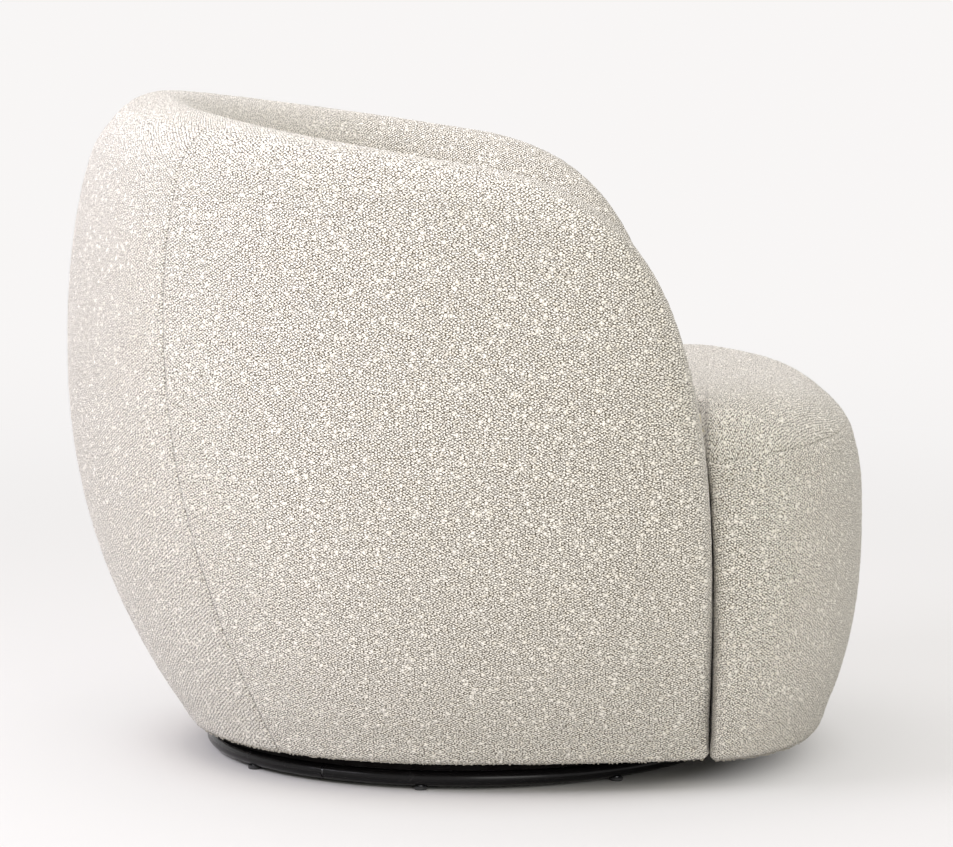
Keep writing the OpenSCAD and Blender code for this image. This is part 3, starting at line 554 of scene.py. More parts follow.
@dataclass
class Cloth:
    """A grid of cloth: its points, the cloth's own map in metres, and how plain a seam each edge is.

    The edges are the first and last station and the first and last row: 0 is no seam, 1 the plainest.
    """

    points: np.ndarray
    seams: Seams
    ring: bool = False
    flip: bool = False
    chart: np.ndarray | None = None
    across: np.ndarray | None = None
    hem: int = 0
    dip: float = 0.0014
    dip_width: float = 0.0022
    dip_power: float = 1.3
    seam_width: float = 0.004
    thickness: float = 0.003
    back_pitch: int = 6

    def normals(self) -> np.ndarray:
        """Return the outward unit normals of the grid."""
        p = self.points
        if self.ring:
            wrapped = np.concatenate([p[-1:], p, p[:1]])
            along = (wrapped[2:] - wrapped[:-2]) / 2
        else:
            along = np.gradient(p, axis=0)
        across = np.gradient(p, axis=1)
        n = np.cross(along, across) if self.flip else np.cross(across, along)
        return n / np.maximum(np.linalg.norm(n, axis=-1, keepdims=True), TINY)

    def runs(self) -> tuple[np.ndarray, np.ndarray]:
        """Return the length along each row and along each station, from its first point."""
        return run_along(self.points), run_along(self.points, 1)

    def margins(self) -> list[tuple[float, np.ndarray]]:
        """Return the plainness of each edge's seam, and the distance of each point from that edge."""
        u, v = self.runs()
        return list(zip(self.seams, (u, u[-1:] - u, v, v[:, -1:] - v)))

    def held(self) -> np.ndarray:
        """Return which points are sewn or stapled down: the edges and the hem."""
        fixed = np.zeros(self.points.shape[:2], bool)
        fixed[:, 0] = True
        fixed[:, :self.hem] = True
        if not self.ring:
            fixed[:, -1] = True
            fixed[[0, -1]] = True
        return fixed

    def shaped(self) -> tuple[np.ndarray, np.ndarray, np.ndarray]:
        """Return the points drawn in at the seams and rounded at the hem, their map, and their looseness."""
        drop = np.zeros(self.points.shape[:2])
        loose = np.ones_like(drop)
        for plain, margin in self.margins():
            sunk = np.exp(-((margin / self.dip_width) ** self.dip_power))
            drop = np.maximum(drop, plain * self.dip * sunk)
            loose = np.minimum(loose, 1 - plain * (1 - unit(margin / self.seam_width)))
        points = self.points - self.normals() * drop[..., None]
        if self.chart is not None:
            return points, self.chart, loose
        _, v = self.runs()
        return points, np.stack([np.broadcast_to(self.across[:, None], v.shape), v], -1), loose

    def build(self, name: str) -> bpy.types.Object:
        """Return the cloth as a closed shell.

        Args:
            name: Name of the new piece.

        Returns:
            The piece, with its map in "cloth" and its looseness in "loose".
        """
        points, flat, loose = self.shaped()
        n, m = points.shape[:2]
        ci = np.arange(0, n, self.back_pitch) if self.ring else every(self.back_pitch, n - 1)
        cj = every(self.back_pitch, m - 1)
        picked = np.ix_(ci, cj)
        back = (points - self.normals() * self.thickness)[picked]
        front = np.arange(n * m).reshape(n, m)
        inner = n * m + np.arange(len(ci) * len(cj)).reshape(len(ci), len(cj))
        parts = [
            np.concatenate([points.reshape(-1, 3), back.reshape(-1, 3)]),
            np.concatenate([flat.reshape(-1, 2), flat[picked].reshape(-1, 2)]),
            np.append(loose, np.zeros(inner.size)),
        ]
        faces = self.quads(front, self.flip) + self.quads(inner, not self.flip)
        faces += self.rims(front, inner, ci, cj)
        if self.ring:
            rings = (front[:, -1], inner[:, -1])
            faces += self.poles(rings, len(parts[0]))
            hubs = [[part[ring].mean(0, keepdims=True) for ring in rings] for part in parts]
            parts = [np.concatenate([part, *hub]) for part, hub in zip(parts, hubs)]
        verts, maps, slack = parts
        return shell(name, verts, faces, maps, slack)

    def quads(self, index: np.ndarray, flip: bool) -> list[list[int]]:
        """Return the four-sided faces of a grid of vertex numbers."""
        a, b = (index, np.roll(index, -1, 0)) if self.ring else (index[:-1], index[1:])
        sides = [a[:, :-1], a[:, 1:], b[:, 1:], b[:, :-1]]
        return np.stack(sides[::-1] if flip else sides, -1).reshape(-1, 4).tolist()

    def rims(self, front: np.ndarray, back: np.ndarray, ci: np.ndarray, cj: np.ndarray) -> list[list[int]]:
        """Return the faces that join the edges of the front to those of the coarser back.

        Args:
            front: Vertex numbers of the front.
            back: Vertex numbers of the back.
            ci: Stations of the front that the back has.
            cj: Rows of the front that the back has.

        Returns:
            The faces, each with one edge of the back and all the edges of the front beside it.
        """
        if self.ring:
            closed = [np.append(grid[:, 0], grid[0, 0]) for grid in (front, back)]
            edges = [(*closed, np.append(ci, len(front)), False)]
        else:
            edges = [(front[:, 0], back[:, 0], ci, False), (front[:, -1], back[:, -1], ci, True),
                     (front[0], back[0], cj, True), (front[-1], back[-1], cj, False)]
        faces = []
        for outer, inner, marks, turned in edges:
            for p, (lo, hi) in enumerate(zip(marks[:-1], marks[1:])):
                span, pair = outer[lo:hi + 1].tolist(), inner[[p + 1, p]].tolist()
                faces.append(span[::-1] + pair[::-1] if turned else span + pair)
        return [face[::-1] for face in faces] if self.flip else faces

    def poles(self, rings: Sequence[np.ndarray], hub: int) -> list[list[int]]:
        """Return the faces that close the middle of a ring-shaped grid.

        Args:
            rings: Vertex numbers of the last row in front and behind.
            hub: Vertex number of the middle in front; the one behind follows it.

        Returns:
            The three-sided faces.
        """
        faces = []
        for place, (ring, flip) in enumerate(zip(rings, (self.flip, not self.flip))):
            for a, b in zip(ring.tolist(), np.roll(ring, -1).tolist()):
                faces.append([a, b, hub + place] if flip else [b, a, hub + place])
        return faces


@dataclass(frozen=True)
class Settling:
    """Cloth simulation that lets a cloth piece swell over the padding, held at its seams and its hem.

    The piece starts a little drawn in and swells under the pressure of the padding, less and less as it
    nears the limit. The movement found on a coarse grid is kept in the mesh.
    """

    pitch: int = 5
    start: float = 0.0016
    limit: float = 0.0030
    pressure: float = 12.0
    stiffness: float = 15.0
    frames: int = 20
    border: float = 0.030
    narrow: float = 0.080

    def settle(self, cloth: Cloth) -> Cloth:
        """Return the cloth after it has settled.

        Args:
            cloth: The cloth as it was cut.

        Returns:
            The same cloth with its points moved along their normals.
        """
        n, m = cloth.points.shape[:2]
        normals = cloth.normals()
        reach = self.free(cloth) / self.border
        drawn = self.start * ease(reach)
        wide = np.nonzero(cloth.runs()[1][:, -1] > self.narrow)[0]
        ci = np.arange(wide[0], wide[-1], self.pitch)
        cj = every(self.pitch, m - 1 - (2 * self.pitch if cloth.ring else 0))
        grid = np.ix_(ci, cj)
        begin = (cloth.points - normals * drawn[..., None])[grid]
        held = cloth.held()[grid]
        held[[0, -1]] |= not cloth.ring
        moved = self.simulated(begin, held, cloth)
        swell = np.maximum(np.sum((moved - begin) * normals[grid], -1), 0.0)
        gain = self.limit * (1 - np.exp(-swell / self.limit))
        rise = self.spread_out(gain, ci, cj, n, m, cloth.ring)
        share = unit(reach * 2)
        points = cloth.points + normals * ((rise - drawn) * share)[..., None]
        log.info("cloth of %d by %d points settled, moved %.1f mm at most", n, m, 1000 * float(gain.max()))
        return replace(cloth, points=points)

    @staticmethod
    def free(cloth: Cloth) -> np.ndarray:
        """Return the distance of each point from the nearest held edge."""
        u, v = cloth.runs()
        low = v - v[:, cloth.hem:cloth.hem + 1]
        sides = [low] if cloth.ring else [low, v[:, -1:] - v, u, u[-1:] - u]
        return np.maximum(np.minimum.reduce(sides), 0.0)

    def simulated(self, begin: np.ndarray, held: np.ndarray, cloth: Cloth) -> np.ndarray:
        """Return the points of a coarse grid after the simulation.

        Args:
            begin: Points of the coarse grid at the start.
            held: Which of them don't move.
            cloth: The cloth that the grid stands for.

        Returns:
            The points at the last frame.
        """
        index = np.arange(begin.shape[0] * begin.shape[1]).reshape(begin.shape[:2])
        faces = cloth.quads(index, cloth.flip)
        if cloth.ring:
            faces.append(index[:, -1].tolist() if cloth.flip else index[::-1, -1].tolist())
        piece = shell("settling", begin.reshape(-1, 3), faces)
        pins = piece.vertex_groups.new(name="held")
        pins.add([int(i) for i in index[held]], 1.0, "REPLACE")
        modifier = piece.modifiers.new("cloth", "CLOTH")
        rules = modifier.settings
        rules.vertex_group_mass = pins.name
        rules.use_pressure = True
        rules.uniform_pressure_force = self.pressure
        rules.tension_stiffness = self.stiffness
        rules.compression_stiffness = self.stiffness
        rules.effector_weights.gravity = 0.0
        modifier.point_cache.frame_start = 1
        modifier.point_cache.frame_end = self.frames
        scene = bpy.context.scene
        state = bpy.context.evaluated_depsgraph_get()
        for step in range(self.frames + 1):
            scene.frame_set(step)
        made = piece.evaluated_get(state).data
        flat = np.empty(len(made.vertices) * 3, np.float32)
        made.vertices.foreach_get("co", flat)
        mesh = piece.data
        bpy.data.objects.remove(piece)
        bpy.data.meshes.remove(mesh)
        scene.frame_set(1)
        return flat.reshape(begin.shape).astype(float)

    def spread_out(self, gain: np.ndarray, ci: np.ndarray, cj: np.ndarray, n: int, m: int,
                   ring: bool) -> np.ndarray:
        """Return the movement of every point of the fine grid, smoothly from that of the coarse one.

        Args:
            gain: Movement on the coarse grid.
            ci: Stations of the coarse grid.
            cj: Rows of the coarse grid.
            n: Number of stations.
            m: Number of rows.
            ring: Whether the last station lies beside the first.

        Returns:
            The movement on the fine grid.
        """
        if ring:
            ci, gain = np.append(ci, n), np.concatenate([gain, gain[:1]])
        rows = np.stack([np.interp(np.arange(m), cj, line) for line in gain])
        fine = np.stack([np.interp(np.arange(n), ci, line) for line in rows.T], 1)
        kernel = np.hanning(2 * self.pitch + 3)[1:-1]
        kernel /= kernel.sum()
        half = self.pitch
        along = np.pad(fine, ((half, half), (0, 0)), mode="wrap" if ring else "edge")
        fine = np.stack([np.convolve(line, kernel, "valid") for line in along.T], 1)
        across = np.pad(fine, ((0, 0), (half, half)), mode="edge")
        return np.stack([np.convolve(line, kernel, "valid") for line in across])


def shell(name: str, verts: np.ndarray, faces: list[list[int]], maps: np.ndarray | None = None,
          slack: np.ndarray | None = None) -> bpy.types.Object:
    """Return a smooth-shaded mesh piece.

    Args:
        name: Name of the piece.
        verts: Its points.
        faces: Its faces.
        maps: Map of each point in metres, for the cloth's pattern.
        slack: Looseness of each point, from 0 at a seam to 1.

    Returns:
        The piece, linked to the scene.
    """
    mesh = bpy.data.meshes.new(name)
    mesh.from_pydata(verts.tolist(), [], faces)
    mesh.polygons.foreach_set("use_smooth", np.ones(len(mesh.polygons), bool))
    if maps is not None:
        corner = np.empty(len(mesh.loops), np.int32)
        mesh.loops.foreach_get("vertex_index", corner)
        mesh.uv_layers.new(name="cloth").data.foreach_set("uv", maps[corner].astype(np.float32).ravel())
    if slack is not None:
        mesh.attributes.new("loose", "FLOAT", "POINT").data.foreach_set("value", slack.astype(np.float32))
    mesh.update()
    piece = bpy.data.objects.new(name, mesh)
    bpy.context.scene.collection.objects.link(piece)
    return piece


class Graph:
    """Adds nodes to a node tree and joins them."""

    def __init__(self, tree: bpy.types.NodeTree) -> None:
        """Keep the tree."""
        self.tree = tree

    def add(self, kind: str, inputs: dict[str | int, object] | None = None,
            **settings: object) -> bpy.types.Node:
        """Add a node.

        Args:
            kind: The node's type.
            inputs: Value or source socket for each input, by name or place.
            **settings: The node's own settings.

        Returns:
            The new node.
        """
        node = self.tree.nodes.new(kind)
        for key, value in settings.items():
            setattr(node, key, value)
        self.feed(node, inputs or {})
        return node

    def feed(self, node: bpy.types.Node, inputs: dict[str | int, object]) -> None:
        """Give each of a node's inputs, by name or place, its value or its source socket."""
        for key, value in inputs.items():
            if isinstance(value, bpy.types.NodeSocket):
                self.tree.links.new(value, node.inputs[key])
            else:
                node.inputs[key].default_value = value

    def math(self, operation: str, *values: object) -> bpy.types.NodeSocket:
        """Return the result of a sum on numbers."""
        return self.add("ShaderNodeMath", dict(enumerate(values)), operation=operation).outputs[0]

    def vector(self, operation: str, *values: object) -> bpy.types.NodeSocket:
        """Return the vector that a sum on vectors gives."""
        return self.add("ShaderNodeVectorMath", dict(enumerate(values)), operation=operation).outputs[0]

    def scaled(self, vector: bpy.types.NodeSocket, scale: object) -> bpy.types.NodeSocket:
        """Return a vector times a number."""
        return self.add("ShaderNodeVectorMath", {0: vector, "Scale": scale}, operation="SCALE").outputs[0]

    def measure(self, operation: str, *values: object) -> bpy.types.NodeSocket:
        """Return the number that a sum on vectors gives."""
        return self.add("ShaderNodeVectorMath", dict(enumerate(values)), operation=operation).outputs["Value"]

    def fade(self, value: bpy.types.NodeSocket, start: float, end: float, low: float = 0.0,
             high: float = 1.0) -> bpy.types.NodeSocket:
        """Return a soft step from low to high as the value goes from start to end."""
        inputs = {"Value": value, "From Min": start, "From Max": end, "To Min": low, "To Max": high}
        return self.add("ShaderNodeMapRange", inputs, interpolation_type="SMOOTHSTEP").outputs[0]

    def place(self) -> bpy.types.NodeSocket:
        """Return the place of the surface in the piece's own frame."""
        return self.add("ShaderNodeTexCoord").outputs["Object"]

    def noise(self, vector: bpy.types.NodeSocket, scale: float, detail: float = 2.0,
              output: str = "Fac") -> bpy.types.NodeSocket:
        """Return the value of a noise texture, or its colour."""
        inputs = {"Vector": vector, "Scale": scale, "Detail": detail}
        return self.add("ShaderNodeTexNoise", inputs).outputs[output]

    def ramp(self, factor: bpy.types.NodeSocket, *stops: tuple[float, Colour]) -> bpy.types.NodeSocket:
        """Return a colour that passes through the stops as the factor goes from 0 to 1."""
        node = self.add("ShaderNodeValToRGB", {"Fac": factor})
        marks = node.color_ramp.elements
        while len(marks) < len(stops):
            marks.new(0.5)
        for mark, (place, colour) in zip(marks, stops):
            mark.position = place
            mark.color = (*colour, 1.0)
        return node.outputs["Color"]

    def tone(self, factor: bpy.types.NodeSocket, low: Colour, high: Colour) -> bpy.types.NodeSocket:
        """Return a colour from low to high as the factor goes from 0 to 1."""
        return self.ramp(factor, (0.0, low), (1.0, high))

    def swing(self, value: bpy.types.NodeSocket, width: object) -> bpy.types.NodeSocket:
        """Return a value between 0 and 1 as one of this width around 0."""
        return self.math("MULTIPLY", self.math("SUBTRACT", value, 0.5), width)

    def bump(self, height: bpy.types.NodeSocket, depth: float, strength: float) -> bpy.types.NodeSocket:
        """Return the normal of a bump of this depth in metres."""
        inputs = {"Height": height, "Distance": depth, "Strength": strength}
        return self.add("ShaderNodeBump", inputs).outputs[0]


def nodes_group(name: str, inputs: dict[str, str]) -> Graph:
    """Return the graph of a new Geometry Nodes tree.

    Args:
        name: Name of the tree.
        inputs: Kind of socket for each named input that follows the geometry, such as "Float".

    Returns:
        The graph.
    """
    tree = bpy.data.node_groups.new(name, "GeometryNodeTree")
    for label, kind in {"Geometry": "Geometry", **inputs}.items():
        tree.interface.new_socket(label, in_out="INPUT", socket_type=f"NodeSocket{kind}")
    tree.interface.new_socket("Geometry", in_out="OUTPUT", socket_type="NodeSocketGeometry")
    return Graph(tree)


def tinted(colour: Colour, gain: float, lift: float = 0.0) -> Colour:
    """Return a colour made paler or darker."""
    return tuple(min(1.0, gain * c + lift) for c in colour)


@dataclass(frozen=True)
class Finish:
    """A surface finish. Each kind of finish adds its own nodes."""

    name: str

    def shade(self, graph: Graph, shader: bpy.types.Node) -> None:
        """Add the finish's nodes in front of the shader."""
        raise NotImplementedError

    def material(self) -> bpy.types.Material:
        """Return the finish as a material, made once."""
        known = bpy.data.materials.get(self.name)
        if known:
            return known
        made = bpy.data.materials.new(self.name)
        made.use_nodes = True
        graph = Graph(made.node_tree)
        self.shade(graph, made.node_tree.nodes["Principled BSDF"])
        return made


@dataclass(frozen=True)
class LoopedCloth(Finish):
    """Ivory cloth of looped yarn: small pale loops in leaning rows, some knots, and gaps darkened with
    painted shade.
    """

    # Dark colour of the gaps between the loops: painted shade.
    painted_gap_shade: Colour = (0.075, 0.056, 0.032)
    yarn: Colour = (0.850, 0.800, 0.695)
    pale: Colour = (0.950, 0.910, 0.830)
    row: float = 0.00265
    course: float = 0.0025
    lean: float = 60.0
    uneven: float = 0.62
    wander: float = 0.0012
    fray: float = 0.7
    edge: float = 0.28
    knot: float = 0.0080
    relief: float = 0.0024

    def shade(self, graph: Graph, shader: bpy.types.Node) -> None:
        """Add loops, knots, their colour and their relief, with painted shade in the gaps between the loops
        and in the seams.
        """
        flat = graph.add("ShaderNodeUVMap", uv_map="cloth").outputs["UV"]
        centred = graph.vector("SUBTRACT", graph.noise(flat, scale=240.0, output="Color"), (0.5, 0.5, 0.5))
        moved = graph.vector("ADD", flat, graph.scaled(centred, self.wander))
        lean = math.radians(self.lean)
        ribs = []
        for side, pitch in ((1, self.row), (-1, self.course)):
            across = (side / pitch * math.cos(lean), 1 / pitch * math.sin(lean), 0.0)
            ribs.append(graph.measure("DOT_PRODUCT", moved, across))
        cell = graph.add("ShaderNodeCombineXYZ", {"X": ribs[0], "Y": ribs[1]}).outputs[0]
        height = graph.math("MAXIMUM", self.loops(graph, flat, cell), self.knots(graph, moved))
        # Painted shade: the ramp paints the low parts between the loops dark and the loop tops pale.
        colour = graph.ramp(height, (0.0, self.painted_gap_shade), (0.28, self.yarn), (0.64, self.pale))
        # Painted shade: the colour darkens to 0.72 of itself at the seams, where the looseness falls to 0.
        loose = graph.add("ShaderNodeAttribute", attribute_name="loose").outputs["Fac"]
        graph.feed(shader, {
            "Base Color": graph.scaled(colour, graph.fade(loose, start=0.0, end=0.5, low=0.72)),
            "Roughness": 0.95,
            "Specular IOR Level": 0.15,
            "Sheen Weight": 0.45,
            "Sheen Roughness": 0.55,
            "Normal": graph.bump(height, depth=self.relief, strength=1.0),
        })

    def loops(self, graph: Graph, flat: bpy.types.NodeSocket,
              cell: bpy.types.NodeSocket) -> bpy.types.NodeSocket:
        """Return the height of the loops.

        Args:
            graph: The graph.
            flat: The cloth's own map.
            cell: The map in rows and courses of loops.

        Returns:
            The height, from 0 in a gap to 1.
        """
        form = {"Vector": cell, "Scale": 1.0, "Randomness": self.uneven}
        rim = graph.add("ShaderNodeTexVoronoi", form, voronoi_dimensions="2D", feature="DISTANCE_TO_EDGE")
        small = graph.add("ShaderNodeTexVoronoi", form, voronoi_dimensions="2D")
        chance = graph.add("ShaderNodeTexWhiteNoise", {"Vector": small.outputs["Color"]}).outputs["Value"]
        fray = graph.swing(graph.noise(flat, scale=480.0, detail=1.0), self.fray)
        body = graph.fade(graph.math("ADD", rim.outputs["Distance"], fray), start=0.0, end=self.edge)
        return graph.math("MULTIPLY", body, graph.fade(chance, start=0.0, end=0.8, low=0.40, high=0.92))

    def knots(self, graph: Graph, moved: bpy.types.NodeSocket) -> bpy.types.NodeSocket:
        """Return the height of the few large knots."""
        form = {"Vector": moved, "Scale": 1 / self.knot, "Randomness": 1.0}
        big = graph.add("ShaderNodeTexVoronoi", form, voronoi_dimensions="2D")
        chosen = graph.add("ShaderNodeTexWhiteNoise", {"Vector": big.outputs["Color"]}).outputs["Value"]
        body = graph.fade(big.outputs["Distance"], start=0.08, end=0.34, low=1.0, high=0.0)
        return graph.math("MULTIPLY", body, graph.fade(chosen, start=0.66, end=0.96))


@dataclass(frozen=True)
class Grain(Finish):
    """Bare wood, with grain along one axis and the layers of plywood where it has them."""

    light: Colour = (0.66, 0.49, 0.30)
    dark: Colour = (0.42, 0.27, 0.14)
    pore_share: float = 0.25
    stretch: Vec = (60.0, 60.0, 4.0)

    def shade(self, graph: Graph, shader: bpy.types.Node) -> None:
        """Add drawn-out grain and its fine pores."""
        long = graph.vector("MULTIPLY", graph.place(), self.stretch)
        pores = graph.noise(long, scale=9.0, detail=3.0)
        grain = graph.math("MULTIPLY", graph.noise(long, scale=1.6, detail=6.0), 1 - self.pore_share)
        mixed = graph.math("ADD", grain, graph.math("MULTIPLY", pores, self.pore_share))
        graph.feed(shader, {
            "Base Color": graph.tone(graph.fade(mixed, start=0.34, end=0.66), self.dark, self.light),
            "Roughness": 0.72,
            "Normal": graph.bump(pores, depth=0.0003, strength=0.5),
        })


@dataclass(frozen=True)
class Metal(Finish):
    """Bare or plated metal with fine uneven polish."""

    colour: Colour = (0.60, 0.60, 0.59)
    rough: float = 0.32
    dull_rough: float = 1.35

    def shade(self, graph: Graph, shader: bpy.types.Node) -> None:
        """Add uneven roughness and a little handling dirt."""
        place = graph.place()
        cloud = graph.noise(place, scale=34.0, detail=4.0)
        dull, rough = tinted(self.colour, gain=0.72), self.rough * self.dull_rough
        graph.feed(shader, {
            "Base Color": graph.tone(graph.fade(cloud, start=0.32, end=0.62), dull, self.colour),
            "Roughness": graph.fade(cloud, start=0.3, end=0.7, low=rough, high=self.rough),
            "Metallic": 1.0,
            "Normal": graph.bump(graph.noise(place, scale=260.0, detail=3.0), depth=0.0001, strength=0.25),
        })


@dataclass(frozen=True)
class PowderCoat(Finish):
    """Black powder coat: half gloss, with a faint orange-peel surface and a few dull scuffs."""

    colour: Colour = (0.007, 0.0065, 0.007)
    rough: float = 0.22
    worn_rough: float = 0.08

    def shade(self, graph: Graph, shader: bpy.types.Node) -> None:
        """Add the peel, the scuffs and their duller colour."""
        place = graph.place()
        scuff = graph.fade(graph.noise(place, scale=46.0, detail=5.0), start=0.60, end=0.74)
        graph.feed(shader, {
            "Base Color": graph.tone(scuff, self.colour, tinted(self.colour, gain=1.5, lift=0.002)),
            "Roughness": graph.math("ADD", graph.math("MULTIPLY", scuff, self.worn_rough), self.rough),
            "Specular IOR Level": 0.18,
            "Normal": graph.bump(graph.noise(place, scale=900.0, detail=1.0), depth=0.0001, strength=0.35),
        })


@dataclass(frozen=True)
class Soft(Finish):
    """Foam, felt and other plain soft stuff: cells or fibres of one size."""

    colour: Colour = (0.82, 0.76, 0.52)
    shade_share: float = 0.72
    cell: float = 0.0016
    stretch: Vec = (1.0, 1.0, 1.0)

    def shade(self, graph: Graph, shader: bpy.types.Node) -> None:
        """Add cells or fibres and slow clouds of colour."""
        place = graph.vector("MULTIPLY", graph.place(), self.stretch)
        form = {"Vector": place, "Scale": 1 / self.cell}
        cells = graph.add("ShaderNodeTexVoronoi", form).outputs["Distance"]
        cloud = graph.fade(graph.noise(place, scale=18.0, detail=3.0), start=0.2, end=0.8, low=0.8)
        value = graph.math("MULTIPLY", graph.fade(cells, start=0.05, end=0.75), cloud)
        graph.feed(shader, {
            "Base Color": graph.tone(value, tinted(self.colour, gain=self.shade_share), self.colour),
            "Roughness": 0.92,
            "Normal": graph.bump(cells, depth=0.0006, strength=0.6),
        })


@dataclass(frozen=True)
class Moulded(Finish):
    """Moulded plastic with a fine spark-eroded grain."""

    colour: Colour = (0.020, 0.020, 0.021)
    rough: float = 0.55
    gloss: float = 0.5

    def shade(self, graph: Graph, shader: bpy.types.Node) -> None:
        """Add the fine grain and slight unevenness."""
        place = graph.place()
        cloud, pale = graph.noise(place, scale=60.0), tinted(self.colour, gain=1.4, lift=0.004)
        graph.feed(shader, {
            "Base Color": graph.ramp(cloud, (0.3, self.colour), (0.7, pale)),
            "Roughness": self.rough,
            "Specular IOR Level": self.gloss,
            "Normal": graph.bump(graph.noise(place, scale=1400.0), depth=0.0001, strength=0.4),
        })


FINISHES: dict[str, Finish] = {
    "boucle": LoopedCloth("looped_cloth"),
    "foam": Soft("seat_foam_cells"),
    # The thread's colour is the cloth's own colour in painted shade.
    "thread": Soft("thread_in_painted_shade", colour=(0.34, 0.30, 0.24), cell=0.0006),
    "loop": Soft("yarn_loop", colour=(0.80, 0.75, 0.65), cell=0.0012),
    "felt": Soft("felt_fibres", colour=(0.42, 0.39, 0.34), cell=0.0012, stretch=(1.0, 0.3, 1.0)),
    "dust_cloth": Soft("dust_cloth_fibres", colour=(0.022, 0.022, 0.023), shade_share=0.5, cell=0.0009),
    "plywood": Grain("birch_ply"),
    # Near black with almost no gloss.
    "black_board": Moulded("near_black_board", colour=(0.003, 0.0025, 0.0025), rough=0.9, gloss=0.05),
    "hardwood": Grain("sawn_hardwood", light=(0.50, 0.33, 0.17), dark=(0.30, 0.18, 0.08),
                      stretch=(60.0, 5.0, 60.0)),
    "black_steel": PowderCoat("black_powder_coat"),
    "dark_steel": Metal("blackened_steel", colour=(0.12, 0.12, 0.125), rough=0.42),
    "spring_steel": Metal("tempered_wire", colour=(0.24, 0.24, 0.25), rough=0.35),
    "ball_steel": Metal("polished_ball", colour=(0.78, 0.78, 0.80), rough=0.08),
    "zinc": Metal("bright_zinc", colour=(0.62, 0.63, 0.65), rough=0.30),
    "glide_plastic": Moulded("glide_nylon"),
    "cage_plastic": Moulded("cage_nylon", colour=(0.36, 0.36, 0.33), rough=0.45),
}


@dataclass(frozen=True)
class Nap:
    """Geometry Nodes that raise the loops of the cloth a little, so that its outline is rough."""

    height: float = 0.0022
    size: float = 0.0045
    seed: float = 3.0

    def tree(self) -> bpy.types.NodeTree:
        """Return the node tree, made once."""
        known = bpy.data.node_groups.get("raise_loops")
        if known:
            return known
        inputs = {"Loop height": "Float", "Loop size": "Float", "Seed": "Float", "Cloth": "Material"}
        graph = nodes_group("raise_loops", inputs)
        given = graph.add("NodeGroupInput").outputs
        form = {
            "Vector": graph.add("GeometryNodeInputPosition").outputs[0],
            "W": given["Seed"],
            "Scale": graph.math("DIVIDE", 1.0, given["Loop size"]),
            "Detail": 1.0,
        }
        noise = graph.add("ShaderNodeTexNoise", form, noise_dimensions="4D").outputs[0]
        loose = graph.add("GeometryNodeInputNamedAttribute", {"Name": "loose"}, data_type="FLOAT").outputs[0]
        lift = graph.swing(noise, given["Loop height"])
        normal = graph.add("GeometryNodeInputNormal").outputs[0]
        offset = graph.scaled(normal, graph.math("MULTIPLY", lift, loose))
        moved = graph.add("GeometryNodeSetPosition", {"Geometry": given["Geometry"], "Offset": offset})
        dye = {"Geometry": moved.outputs[0], "Material": given["Cloth"]}
        dyed = graph.add("GeometryNodeSetMaterial", dye).outputs[0]
        graph.add("NodeGroupOutput", {"Geometry": dyed})
        return graph.tree

    def apply(self, piece: bpy.types.Object, cloth: bpy.types.Material) -> bpy.types.Object:
        """Return the piece with its loops raised, as a plain mesh.

        Args:
            piece: Cloth piece with the attribute "loose".
            cloth: Material of the cloth.

        Returns:
            The same object with its new mesh.
        """
        values = {"Loop height": self.height, "Loop size": self.size, "Seed": self.seed, "Cloth": cloth}
        return run_tree(piece, self.tree(), values)


def run_tree(piece: bpy.types.Object, tree: bpy.types.NodeTree,
             values: dict[str, object]) -> bpy.types.Object:
    """Run Geometry Nodes on a piece and keep the result as its plain mesh.

    Args:
        piece: The piece.
        tree: The node tree.
        values: Value for each of the tree's named inputs.

    Returns:
        A mesh piece of the same name.
    """
    ids = {item.name: item.identifier for item in tree.interface.items_tree if item.in_out == "INPUT"}
    modifier = piece.modifiers.new("nodes", "NODES")
    modifier.node_group = tree
    for name, value in values.items():
        modifier[ids[name]] = value
    bpy.context.view_layer.update()
    made = bpy.data.meshes.new_from_object(piece.evaluated_get(bpy.context.evaluated_depsgraph_get()))
    name = piece.name
    old = piece.data
    bpy.data.objects.remove(piece)
    (bpy.data.meshes if isinstance(old, bpy.types.Mesh) else bpy.data.curves).remove(old)
    made.name = name
    result = bpy.data.objects.new(name, made)
    bpy.context.scene.collection.objects.link(result)
    return result


